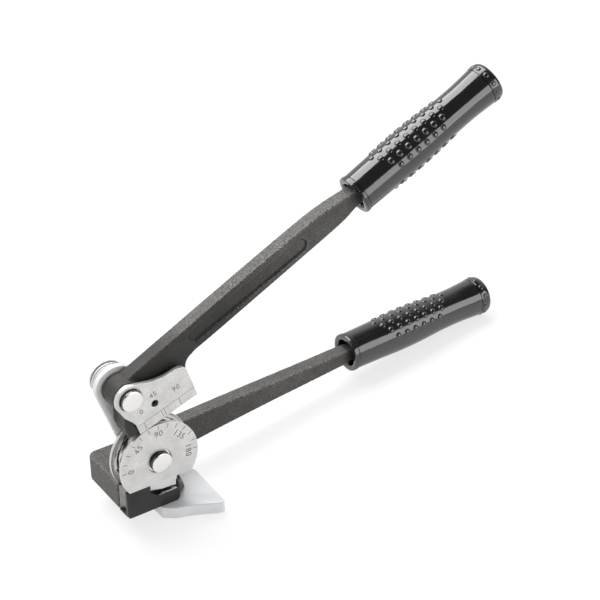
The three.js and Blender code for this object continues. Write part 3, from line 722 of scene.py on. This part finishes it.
def make_mandrel_steel():
    """The machined finish, with dark and bright streaks round the groove that are painted reflections."""
    material = machined.copy()
    material.name = "mandrel_steel"
    tree = material.node_tree
    surface = tree.nodes["Principled BSDF"]
    place = tree.nodes.new("ShaderNodeTexCoord")
    from_pin = tree.nodes.new("ShaderNodeVectorMath")
    from_pin.operation = "SUBTRACT"
    from_pin.inputs[1].default_value = tool_axes.translation
    along = tree.nodes.new("ShaderNodeSeparateXYZ")
    reach = tree.nodes.new("ShaderNodeCombineXYZ")
    radius = tree.nodes.new("ShaderNodeVectorMath")
    radius.operation = "LENGTH"
    angle = tree.nodes.new("ShaderNodeMath")
    angle.operation = "ARCTAN2"
    streak_at = tree.nodes.new("ShaderNodeCombineXYZ")
    streaks = tree.nodes.new("ShaderNodeTexNoise")
    streaks.inputs["Scale"].default_value = 1
    streaks.inputs["Detail"].default_value = 3
    links = tree.links
    links.new(place.outputs["Object"], from_pin.inputs[0])
    links.new(from_pin.outputs["Vector"], along.inputs[0])
    links.new(along.outputs["X"], reach.inputs["X"])
    links.new(along.outputs["Z"], reach.inputs["Z"])
    links.new(reach.outputs["Vector"], radius.inputs[0])
    links.new(along.outputs["Z"], angle.inputs[0])
    links.new(along.outputs["X"], angle.inputs[1])
    across_scale, round_scale = 900, 2.4
    front_lip, back_lip, hub_edge = (0.0019, 0.0025), (0.0111, 0.0117), (0.016, 0.0165)
    for socket, value, scale in (
        ("X", radius.outputs["Value"], across_scale),
        ("Y", along.outputs["Y"], across_scale),
        ("Z", angle.outputs[0], round_scale),
    ):
        stretch = tree.nodes.new("ShaderNodeMath")
        stretch.operation = "MULTIPLY"
        stretch.inputs[1].default_value = scale
        links.new(value, stretch.inputs[0])
        links.new(stretch.outputs[0], streak_at.inputs[socket])
    links.new(streak_at.outputs["Vector"], streaks.inputs["Vector"])
    behind_front = spread(tree, along.outputs["Y"], 0, 1, *front_lip)
    before_back = spread(tree, along.outputs["Y"], 1, 0, *back_lip)
    off_hub = spread(tree, radius.outputs["Value"], 0, 1, *hub_edge)
    in_groove = maths(tree, "MULTIPLY", maths(tree, "MULTIPLY", behind_front, before_back), off_hub)
    # Painted reflections: dark and bright streaks that run round the groove.
    reflection_streak = spread(tree, streaks.outputs["Fac"], 0, 1, 0.43, 0.57)
    wear_and_sheen = mixed(tree, reflection_streak, linear("#2b2a29"), linear("#d8d6d3"))
    clean = surface.inputs["Base Color"].links[0].from_socket
    links.new(mixed(tree, in_groove, clean, wear_and_sheen), surface.inputs["Base Color"])
    return material


mandrel_profile = [
    (pin_radius + gap, counterbore_depth), (counterbore_radius, counterbore_depth),
    (counterbore_radius, 0.35), (7.5, 0),
    (mandrel_radius - 0.35, 0), (mandrel_radius - 0.1, 0.1), (mandrel_radius, 0.35),
    (mandrel_radius, 1.85), (mandrel_radius - 0.1, 2.1),
    *arc(tube_radius, 270, 90, 28, (bend_radius, groove_y)),
    (mandrel_radius - 0.1, 11.5), (mandrel_radius, 11.75), (mandrel_radius, mandrel_depth - 0.35),
    (mandrel_radius - 0.25, mandrel_depth), (pin_radius + gap, mandrel_depth),
]
below_foot = slab(oblong(*foot_box), -overrun, mandrel_depth + overrun)
mandrel = cut(turned(mandrel_profile, sides=192), below_foot)
add_piece(
    "mandrel_disc", mandrel, tool_axes, "lower_body", make_mandrel_steel(),
    ["forming_mandrel"],
)


def stroke(length, width):
    """A cut line along Z from its own middle, just proud of the face that it is drawn on."""
    half = width / 2
    return slab(oblong(-half, half, -length / 2, length / 2), -mark_depth, mark_depth)


def upright(mesh):
    """Turns a mesh so that what pointed back points up."""
    return moved(mesh, Matrix.Rotation(math.radians(90), 4, "X"))


def lettering(words, height):
    """Figures as wide and as thin as stamped ones, about the height given."""
    text = bpy.data.curves.new("lettering", "FONT")
    text.body = words
    text.align_x = "CENTER"
    text.align_y = "CENTER"
    text.size = height * size_for_height
    text.extrude = mark_depth
    text.resolution_u = 4
    text.offset = letter_thinning
    text.space_character = letter_spacing
    holder = bpy.data.objects.new("lettering", text)
    bpy.context.scene.collection.objects.link(holder)
    depsgraph = bpy.context.evaluated_depsgraph_get()
    mesh = bpy.data.meshes.new_from_object(holder.evaluated_get(depsgraph))
    bpy.data.objects.remove(holder)
    return upright(mesh)


def on_dial(mesh, degrees, reach):
    """Moves a mark out to its place on the dial, whose 90 points up."""
    around = Matrix.Rotation(math.radians(degrees - 90), 4, "Y")
    return moved(mesh, Matrix.Translation((0, 0, reach)), around)


ticks = [on_dial(stroke(tick_length, tick_width), degrees, tick_reach) for degrees in range(0, 181, 15)]
figures = [
    on_dial(lettering(str(degrees), figure_height), degrees, figure_reach)
    for degrees in range(0, 181, 45)
]
add_piece("dial_marks", together(*ticks, *figures), tool_axes, "lower_body", paint)

# Pins and rings: both pivots turn on ground steel pins with a chamfered nose, held at the back by
# a spring ring in a groove.
flange_radius, flange_thickness = 7.1, 1.4
mandrel_pin_proud, mandrel_pin_seat = 2.85, 2.3
pivot_pin_proud, pivot_pin_seat = 4.35, 0.7
ring_bore, ring_radius, ring_thickness = 5.8, 8.2, 1.1
ring_groove_depth, tail_length = 0.85, 2.6
spring_front = 17.8
spring_wire, spring_pitch, spring_turns, spring_radius = 1.4, 1.9, 2.75, 10.2
spring_back = spring_front + spring_pitch * spring_turns + spring_wire
spring_washer_bore, spring_washer_thickness = 6.7, 1.2
pivot_ring_front = spring_back + gap + spring_washer_thickness + gap

bright = make_metal(
    "ground_steel", ("#e2e1e0", "#efeeed", "#f6f6f6"), roughness=(0.18, 0.3), metallic=1.0,
    grain_scale=2000, patch_scale=200, depth=0.00001, wear_radius=0.0004,
)
blackened = make_metal(
    "blackened_steel", ("#1d1d1e", "#2e2e2f", "#5d5d5e"), roughness=(0.36, 0.5), metallic=0.35,
    grain_scale=1800, patch_scale=120, depth=0.00002, wear_radius=0.0006,
)


def with_dark_flank(finish, name, flank_shade_colour):
    """A copy of a finish with painted shade: darker on the surfaces that don't face the front or the back.
    """
    material = finish.copy()
    material.name = name
    tree = material.node_tree
    surface = tree.nodes["Principled BSDF"]
    place = tree.nodes.new("ShaderNodeTexCoord")
    parts = tree.nodes.new("ShaderNodeSeparateXYZ")
    facing = tree.nodes.new("ShaderNodeMath")
    facing.operation = "ABSOLUTE"
    tree.links.new(place.outputs["Normal"], parts.inputs[0])
    tree.links.new(parts.outputs["Y"], facing.inputs[0])
    flank_shade = spread(tree, facing.outputs[0], 1, 0, 0.45, 0.75)
    ground = surface.inputs["Base Color"].links[0].from_socket
    colour = mixed(tree, flank_shade, ground, linear(flank_shade_colour))
    tree.links.new(colour, surface.inputs["Base Color"])
    return material


pin_steel = with_dark_flank(bright, "pin_steel", "#6c6b69")


def pin(proud, seat, ring_at):
    """A pin with its nose proud of the dial's plane, a flange at seat and a groove for its ring."""
    root = pin_radius - ring_groove_depth
    groove_back = ring_at + ring_thickness + gap
    tail = ring_at + tail_length
    return turned([
        (0, -proud - 0.15), (2.5, -proud - 0.1), (pin_radius - 1.0, -proud),
        (pin_radius - 0.3, 0.35 - proud), (pin_radius, 1.0 - proud), (pin_radius, seat - flange_thickness),
        (flange_radius, seat - flange_thickness), (flange_radius, seat), (pin_radius, seat),
        (pin_radius, ring_at - gap), (root, ring_at - gap), (root, groove_back), (pin_radius, groove_back),
        (pin_radius, tail - 0.5), (pin_radius - 0.5, tail), (0, tail),
    ])


def washer(inner, outer, front, thickness, edge=0.2):
    back = front + thickness
    return turned([
        (inner, front), (outer - edge, front), (outer, front + edge), (outer, back - edge),
        (outer - edge, back), (inner, back),
    ])


mandrel_pin = pin(mandrel_pin_proud, mandrel_pin_seat, boss_back + gap)
pivot_pin = pin(pivot_pin_proud, pivot_pin_seat, pivot_ring_front)
mandrel_ring = washer(ring_bore, ring_radius, boss_back + gap, ring_thickness)
pivot_ring = washer(ring_bore, ring_radius, pivot_ring_front, ring_thickness)
add_piece(
    "mandrel_pin_turned", mandrel_pin, tool_axes, "lower_body", pin_steel, ["mandrel_pin"]
)
add_piece("pivot_pin_turned", pivot_pin, shoe_axes, "link", pin_steel, ["pivot_pin"])
add_piece(
    "mandrel_ring", mandrel_ring, tool_axes, "lower_body", blackened, ["mandrel_pin_ring"]
)
add_piece("pivot_ring", pivot_ring, shoe_axes, "link", bright, ["pivot_pin_ring"])

# Link: a flat bar of drawn steel with round ends that ties the shoe's pin to the mandrel's. Behind
# it a coil spring and a washer on the pin keep the joint snug.
link_front, link_back = 13.9, 17.5
link_half_width, link_edge, link_bore = 12.4, 0.45, 8.4
drawn = make_metal(
    "drawn_steel", ("#cacac9", "#e0e0df", "#f4f4f4"), roughness=(0.44, 0.56), metallic=0.25,
    grain_scale=1800, patch_scale=160, depth=0.000002, wear_radius=0.0004,
)
spring_steel = make_metal(
    "spring_steel", ("#c6c6c5", "#dcdcdb", "#f4f4f4"), roughness=(0.4, 0.52), metallic=0.4,
    grain_scale=1800, patch_scale=160, depth=0.000002, wear_radius=0.0004,
)

link_outline = arc(link_half_width, 0, 180, 40, (0, link_length)) + arc(link_half_width, 180, 360, 40)
link_bores = [
    moved(rod(link_bore, link_front - overrun, link_back + overrun), Matrix.Translation((0, 0, z)))
    for z in (0, link_length)
]
link_bar = eased(cut(slab(link_outline, link_front, link_back), *link_bores), link_edge)
add_piece("link_bar", link_bar, link_axes, "link", drawn, ["link_plate"])
spring_washer = washer(spring_washer_bore, spring_radius, spring_back + gap, spring_washer_thickness)
add_piece(
    "spring_washer_turned", spring_washer, shoe_axes, "link", spring_steel,
    ["spring_washer"],
)


def coil(steps_per_turn=40, sides=14):
    shape = bmesh.new()
    rings = []
    wire = spring_wire / 2
    middle = spring_radius - wire
    for k in range(round(spring_turns * steps_per_turn) + 1):
        turn = k / steps_per_turn
        a = 2 * math.pi * turn
        y = spring_front + wire + spring_pitch * turn
        ring = []
        for r, rise in arc(wire, 0, 360 - 360 / sides, sides - 1, (middle, 0)):
            ring.append(shape.verts.new((r * math.cos(a), y + rise, r * math.sin(a))))
        rings.append(ring)
    for here, there in zip(rings, rings[1:]):
        for j in range(sides):
            k = (j + 1) % sides
            shape.faces.new((here[j], here[k], there[k], there[j]))
    shape.faces.new(rings[0])
    shape.faces.new(rings[-1])
    return to_mesh("coil", shape)


add_piece(
    "spring_coil", coil(), shoe_axes, "link", spring_steel, ["handle_spring"], crease=50
)

# Bending shoe: a machined steel block with a marked plate round the pin. Its skirt has a straight
# half-round groove that pushes the tube round the mandrel, and a set screw locks it.
shoe_front, shoe_back, shoe_right, shoe_edge_round = -2.1, 0.6, 35.1, 0.3
shoe_round_end = 9.0
skirt_front, skirt_back, skirt_right, skirt_edge_round = -0.2, 13.6, 35.4, 0.25
plate_lap = 0.6
screw_radius, screw_gap, screw_edge = 1.9, 0.25, 0.3
screw_front, screw_back, screw_key, screw_key_back = -1.0, 8.0, 1.15, 1
screw_at = Matrix.Translation((11.1, 0, -11.9))
shoe_figures = (("0", 2.3, -11.2), ("45", 12.1, -6.0), ("90", 25.2, -11.5))
shoe_figure_height = 3.2
index_lines, index_length, index_width, index_z = (1.4, 12.9, 14.7, 24.8), 5.6, 0.24, -22.6
shadow_line_drop, shadow_line_width, shadow_line_short = 2.3, 0.17, 0.6

shoe_outline = (
    [(skirt_left, skirt_top - plate_lap), (-3.3, -17.6), (-4.5, -14.1), (-7.4, -8.4)]
    + arc(shoe_round_end, 205, 80, 26)
    + smooth_line([
        (5.6, 6.9), (11.3, 3.9), (16.9, 1.3), (22.8, -0.2), (28.0, -0.6), (31.2, -1.0), (33.7, -2.2),
        (shoe_right, -4.6),
    ], 5)
    + [(shoe_right, skirt_top - plate_lap)]
)
pin_opening = turned([
    (0, -4), (6.95, -4), (6.95, -2.1), (6.6, -1.75), (6.6, -1.0), (7.4, -1.0), (7.4, 4), (0, 4),
])
screw_hole = moved(
    rod(screw_radius + screw_gap, shoe_front - overrun, shoe_back + overrun, sides=40), screw_at
)
shoe_plate = eased(cut(slab(shoe_outline, shoe_front, shoe_back), pin_opening, screw_hole), shoe_edge_round)
add_piece("shoe_plate", shoe_plate, shoe_axes, "upper_body", machined, ["bending_shoe"])

straight_groove = arc(tube_radius, 180, 0, 24, (groove_y, bend_radius - link_length))
skirt_profile = [
    (skirt_front, skirt_top),
    (skirt_front, shoe_edge),
    *[(y, z) for y, z in straight_groove if z > shoe_edge],
    (skirt_back, shoe_edge),
    (skirt_back, skirt_top),
]
skirt = prism(
    [(skirt_left, y, z) for y, z in skirt_profile],
    [(skirt_right, y, z) for y, z in skirt_profile],
)
skirt_steel = with_dark_flank(machined, "skirt_steel", "#5f5e5c")
add_piece(
    "shoe_skirt", eased(skirt, skirt_edge_round), shoe_axes, "upper_body", skirt_steel
)

shoe_marks = [
    moved(stroke(index_length, index_width), Matrix.Translation((x, skirt_front, index_z)))
    for x in index_lines
]
# A thin dark stroke on the skirt below the plate's lower edge is a painted shadow line.
shoe_marks.append(moved(
    stroke(skirt_right - skirt_left - shadow_line_short, shadow_line_width),
    Matrix.Rotation(math.radians(90), 4, "Y"),
    Matrix.Translation(((skirt_left + skirt_right) / 2, skirt_front, skirt_top - shadow_line_drop)),
))
for words, x, z in shoe_figures:
    shoe_marks.append(moved(lettering(words, shoe_figure_height), Matrix.Translation((x, shoe_front, z))))
add_piece("shoe_marks", together(*shoe_marks), shoe_axes, "upper_body", paint)

screw_profile = [
    (0, screw_front), (screw_radius - screw_edge, screw_front), (screw_radius, screw_front + screw_edge),
    (screw_radius, screw_back), (0, screw_back),
]
screw = turned(screw_profile, sides=40)
hexagon = slab(arc(screw_key, 0, 300, 5), screw_front - overrun, screw_key_back)
add_piece(
    "shoe_screw", moved(cut(screw, hexagon), screw_at), shoe_axes, "upper_body", blackened,
    ["shoe_set_screw"],
)

# Tube seat: a machined steel strip, pinned to the block below the dial's zero. The tube's fixed end
# lies in its half-round channel.
strip_right, strip_front, strip_back = -7.8, 2.95, 10.65
strip_foot, strip_corner = 1.5, 0.3
seat_steel = make_metal(
    "seat_steel", ("#7c7975", "#a4a19b", "#c4c1bc"), roughness=(0.35, 0.5), metallic=0.8,
    grain_scale=2200, patch_scale=160, depth=0.00002, wear_radius=0.0005,
)


def rounded_box(left, right, low, high, radius, steps=5):
    corners = [
        (right - radius, high - radius, 0), (left + radius, high - radius, 90),
        (left + radius, low + radius, 180), (right - radius, low + radius, 270),
    ]
    return [point for x, z, turn in corners for point in arc(radius, turn, turn + 90, steps, (x, z))]


strip_outline = rounded_box(block_left, strip_right, block_low + strip_foot, block_high, strip_corner)
channel = moved(
    upright(rod(tube_radius, block_low - overrun, block_high + overrun, sides=96)),
    Matrix.Translation((-bend_radius, groove_y, 0)),
)
seat_strip = cut(slab(strip_outline, strip_front, strip_back), channel)
add_piece("seat_strip", seat_strip, tool_axes, "lower_body", seat_steel, ["tube_seat"])

# Latch housing: a blackened steel plate in front of the seat. It stands tall at the left, drops to
# a long lip at the right, and leaves a window for the latch's head.
housing_back = 2.65
lip_z = -23.3
face_edge, foot_edge = 0.35, 0.3
foot_left, foot_right, foot_back, foot_height, foot_lap = block_left + 0.2, -7.9, 10.8, 1.3, 0.5
lip_corner, low_corner, chamfer = 2.8, 1.6, 1.6
lip_glint_left, lip_glint_right, lip_glint_front, lip_glint_back = -1.8, 10.2, 0.5, housing_back - 0.25
lip_glint_sunk, lip_glint_proud = 0.02, 0.08
cheek_front, cheek_back = 2.75, 3.25

housing_outline = (
    [(block_left, block_high), (-7.0, block_high), (-7.0, -20.5), (-5.8, -20.7), (-2.0, lip_z),
     (10.4, lip_z), (11.6, -24.4)]
    + arc(lip_corner, 0, -90, 6, (8.8, -28.6))
    + arc(low_corner, -90, -180, 4, (block_left + low_corner, block_low + low_corner))
)
housing_chamfer = plate(
    [(block_left - lap, -lap), (block_left + chamfer, -lap), (block_left - lap, chamfer)],
    block_low - overrun, block_high + overrun,
)
housing_face = eased(cut(slab(housing_outline, 0, housing_back), housing_chamfer), face_edge)
foot_plan = oblong(foot_left, foot_right, housing_back - foot_lap, foot_back)
housing_foot = eased(plate(foot_plan, block_low, block_low + foot_height), foot_edge)
add_piece(
    "housing_plate", together(housing_face, housing_foot), tool_axes, "lower_body",
    blackened, ["latch_housing"],
)

# A painted highlight of bright steel along the top of the lip, and the steel cheek beside the latch's head.
lip_glint = slab(oblong(lip_glint_left, lip_glint_right, lip_z - lip_glint_sunk, lip_z + lip_glint_proud), lip_glint_front, lip_glint_back)
add_piece("housing_lip_glint", lip_glint, tool_axes, "lower_body", bright)
cheek_outline = [
    (-7.3, -14.6), (-7.3, -19.6), (-2.8, -20.4), (1.7, -21.6), (8.1, -22.0), (10.7, -22.5),
    (10.7, -17.4), (10.3, -14.6),
]
cheek = slab(cheek_outline, cheek_front, cheek_back)
add_piece("latch_cheek", cheek, tool_axes, "lower_body", drawn)

# Latch: a thumb lever under the block turns a shank whose round head shows in the housing's
# window. The lever is a thick zinc plated plate with a hollowed front edge.
lever_top, lever_bottom, lever_edge = -31.7, -39.2, 0.8
lever_tip, lever_wing, lever_heel = (-0.9, -1.2), (31.9, -16.5), (33.6, 23)
tip_round, wing_round, heel_round, hub_round = 2.2, 2.1, 5, 5.25
hub_reach = 10.5
nut_pocket_radius, nut_pocket_top = 7.7, 33.9
head_radius, shank_radius = 6.1, 4.75
head_top, head_low, shank_low = 14.5, 22.2, 38.6
# Its bright worn edges are made wide, so that they are partly a painted highlight along the rims.
plated = make_metal(
    "zinc_plate", ("#cccecf", "#d7d9da", "#f4f4f4"), roughness=(0.4, 0.52), metallic=0.25,
    grain_scale=1500, patch_scale=60, depth=0.000005, wear_radius=0.0016,
)


def round_corner(before, corner, after, radius, steps=6):
    """The arc that rounds a corner between its two neighbours."""
    here = Vector(corner)
    to_before = (Vector(before) - here).normalized()
    to_after = (Vector(after) - here).normalized()
    half = to_before.angle(to_after) / 2
    reach = radius / math.tan(half)
    centre = here + (to_before + to_after).normalized() * (radius / math.sin(half))
    start = here + to_before * reach - centre
    end = here + to_after * reach - centre
    sweep = start.angle_signed(end)
    return [tuple(centre + Matrix.Rotation(-sweep * k / steps, 2) @ start) for k in range(steps + 1)]


hollow = [(3.5, -4.4), (6.3, -6.1), (13, -8.2), (20.7, -11.8), (27.4, -15.2)]
hub_back = (latch_x, latch_y + hub_reach)
hub_left = (latch_x - hub_reach, latch_y + hub_reach / 2)
lever_outline = (
    round_corner(hub_left, lever_tip, hollow[0], tip_round)
    + smooth_line(hollow, 5)
    + round_corner(hollow[-1], lever_wing, lever_heel, wing_round)
    + round_corner(lever_wing, lever_heel, hub_back, heel_round)
    + round_corner(lever_heel, hub_back, hub_left, hub_round)
    + round_corner(hub_back, hub_left, lever_tip, hub_round)
)
nut_pocket = moved(hung(rod(nut_pocket_radius, nut_pocket_top, 45)), at_latch)
lever_plate = eased(cut(plate(lever_outline, lever_bottom, lever_top), nut_pocket), lever_edge, segments=4)
add_piece("lever_plate", lever_plate, tool_axes, "latch", plated, ["latch_lever"])
latch_head = turned([
    (0, shank_low), (shank_radius, shank_low), (shank_radius, head_low), (head_radius - 0.3, head_low),
    (head_radius, head_low - 0.3), (head_radius, head_top + 0.5), (head_radius - 0.5, head_top),
    (0, head_top),
])
add_piece(
    "latch_head", moved(hung(latch_head), at_latch), tool_axes, "latch", bright,
    ["latch_screw"],
)

# Inner fittings: bronze bushes and a bronze washer, ground dowels and a blackened nut. Little of
# them shows, so they keep their own solids and only get their finish.
bronze = make_metal(
    "sintered_bronze", ("#8a6b3c", "#a98750", "#c9a76c"), roughness=(0.4, 0.55), metallic=0.9,
    grain_scale=2200, patch_scale=120, depth=0.00002, wear_radius=0.0004,
)
for node, material in {
    "mandrel_pin_bush": bronze,
    "pivot_pin_bush": bronze,
    "thrust_washer": bronze,
    "mandrel_key_pin": bright,
    "housing_pin_upper": bright,
    "housing_pin_lower": bright,
    "latch_nut": blackened,
}.items():
    solid = frame["nodes"][node]
    solid.data.materials.clear()
    solid.data.materials.append(material)

# Studio: a white floor that keeps a faint shadow, one large softbox overhead, one strip from the
# left and a weak fill from the front, with white walls that the bright metal mirrors.
floor_reach, floor_drop = 4, 0.0002
floor_mesh = bpy.data.meshes.new("floor")
floor_mesh.from_pydata(
    [(x, y, 0) for x, y in oblong(-floor_reach, floor_reach, -floor_reach, floor_reach)], [], [(0, 1, 2, 3)]
)
floor = bpy.data.objects.new("floor", floor_mesh)
bpy.context.scene.collection.objects.link(floor)
floor.location.z = -floor_drop


def make_paper():
    """Paper that the camera and mirrors see as white. Near the tool it keeps some of its shadow."""
    material, tree, surface = new_material("white_paper")
    surface.inputs["Base Color"].default_value = (0.86, 0.86, 0.86, 1)
    surface.inputs["Roughness"].default_value = 0.9
    surface.inputs["Specular IOR Level"].default_value = 0.1
    rays = tree.nodes.new("ShaderNodeLightPath")
    glow = tree.nodes.new("ShaderNodeEmission")
    blend = tree.nodes.new("ShaderNodeMixShader")
    mirrored = maths(tree, "ADD", rays.outputs["Is Glossy Ray"], rays.outputs["Is Transmission Ray"])
    shown = maths(tree, "ADD", rays.outputs["Is Camera Ray"], mirrored)
    place = tree.nodes.new("ShaderNodeTexCoord")
    from_middle = tree.nodes.new("ShaderNodeVectorMath")
    from_middle.operation = "LENGTH"
    tree.links.new(place.outputs["Object"], from_middle.inputs[0])
    whiteness = spread(tree, from_middle.outputs["Value"], 0.72, 1, 0.4, 1.1)
    tree.links.new(maths(tree, "MULTIPLY", shown, whiteness), blend.inputs["Fac"])
    tree.links.new(surface.outputs["BSDF"], blend.inputs[1])
    tree.links.new(glow.outputs["Emission"], blend.inputs[2])
    tree.links.new(blend.outputs["Shader"], tree.nodes["Material Output"].inputs["Surface"])
    return material


floor_mesh.materials.append(make_paper())


def softbox(name, place, target, width, height, watts):
    light = bpy.data.lights.new(name, "AREA")
    light.shape = "RECTANGLE"
    light.size = width
    light.size_y = height
    light.energy = watts
    lamp = bpy.data.objects.new(name, light)
    bpy.context.scene.collection.objects.link(lamp)
    lamp.location = place
    lamp.rotation_euler = (Vector(target) - Vector(place)).to_track_quat("-Z", "Y").to_euler()


softbox("overhead", (-0.04, 0.38, 0.85), (0.0, 0.0, 0.1), width=1.0, height=0.7, watts=12)
softbox("left_strip", (-0.8, -0.15, 0.4), (0.0, 0.0, 0.1), width=0.12, height=0.9, watts=1.2)
softbox("front_fill", (0.5, -0.9, 0.35), (0.0, 0.0, 0.08), width=0.9, height=0.6, watts=5.2)

white, wall_grey, light_grey = [1, 1, 1, 1], [0.1, 0.1, 0.1, 1], [0.52, 0.52, 0.52, 1]
world = bpy.data.worlds.new("studio")
bpy.context.scene.world = world
world.use_nodes = True
sky = world.node_tree
sky_place = sky.nodes.new("ShaderNodeTexCoord")
sky_parts = sky.nodes.new("ShaderNodeSeparateXYZ")
sky_rays = sky.nodes.new("ShaderNodeLightPath")
sky.links.new(sky_place.outputs["Generated"], sky_parts.inputs[0])
behind = spread(sky, sky_parts.outputs["Y"], 0, 1, -0.25, 0.15)
low_down = spread(sky, sky_parts.outputs["Z"], 1, 0, 0.6, 0.85)
mirrored = mixed(sky, maths(sky, "MULTIPLY", behind, low_down), wall_grey, white)
lit = mixed(sky, sky_rays.outputs["Is Glossy Ray"], light_grey, mirrored)
seen = maths(sky, "MAXIMUM", sky_rays.outputs["Is Camera Ray"], sky_rays.outputs["Is Transmission Ray"])
sky.links.new(mixed(sky, seen, lit, white), sky.nodes["Background"].inputs["Color"])
bpy.context.scene.view_settings.view_transform = "Standard"

# Camera: it looks down on the dial from the left with a long lens, and was set by matching the
# dial's marks and both handles.
image_width = 600
focal_pixels = 1668.9
sensor_width = 36
camera_azimuth, camera_elevation = math.radians(-34.12), math.radians(31.23)
camera_roll = math.radians(-0.22)
camera_target, camera_distance = Vector((100.48, 10.0, 64.36)), 943.2
camera_from = Vector((
    math.sin(camera_azimuth) * math.cos(camera_elevation),
    -math.cos(camera_azimuth) * math.cos(camera_elevation),
    math.sin(camera_elevation),
))
back = (tool_axes.to_3x3() @ camera_from).normalized()
tool_up = (tool_axes.to_3x3() @ Vector((0, 0, 1))).normalized()
level = tool_up.cross(back).normalized()
upward = back.cross(level)
right = level * math.cos(camera_roll) + upward * math.sin(camera_roll)
up = upward * math.cos(camera_roll) - level * math.sin(camera_roll)
view = Matrix((right, up, back)).transposed().to_4x4()
view.translation = tool_axes @ (camera_target + camera_from * camera_distance)
lens = bpy.data.cameras.new("camera")
lens.sensor_fit = "HORIZONTAL"
lens.sensor_width = sensor_width
lens.lens = focal_pixels / image_width * sensor_width
lens.clip_end = 20
camera = bpy.data.objects.new("camera", lens)
bpy.context.scene.collection.objects.link(camera)
camera.matrix_world = view
bpy.context.scene.camera = camera
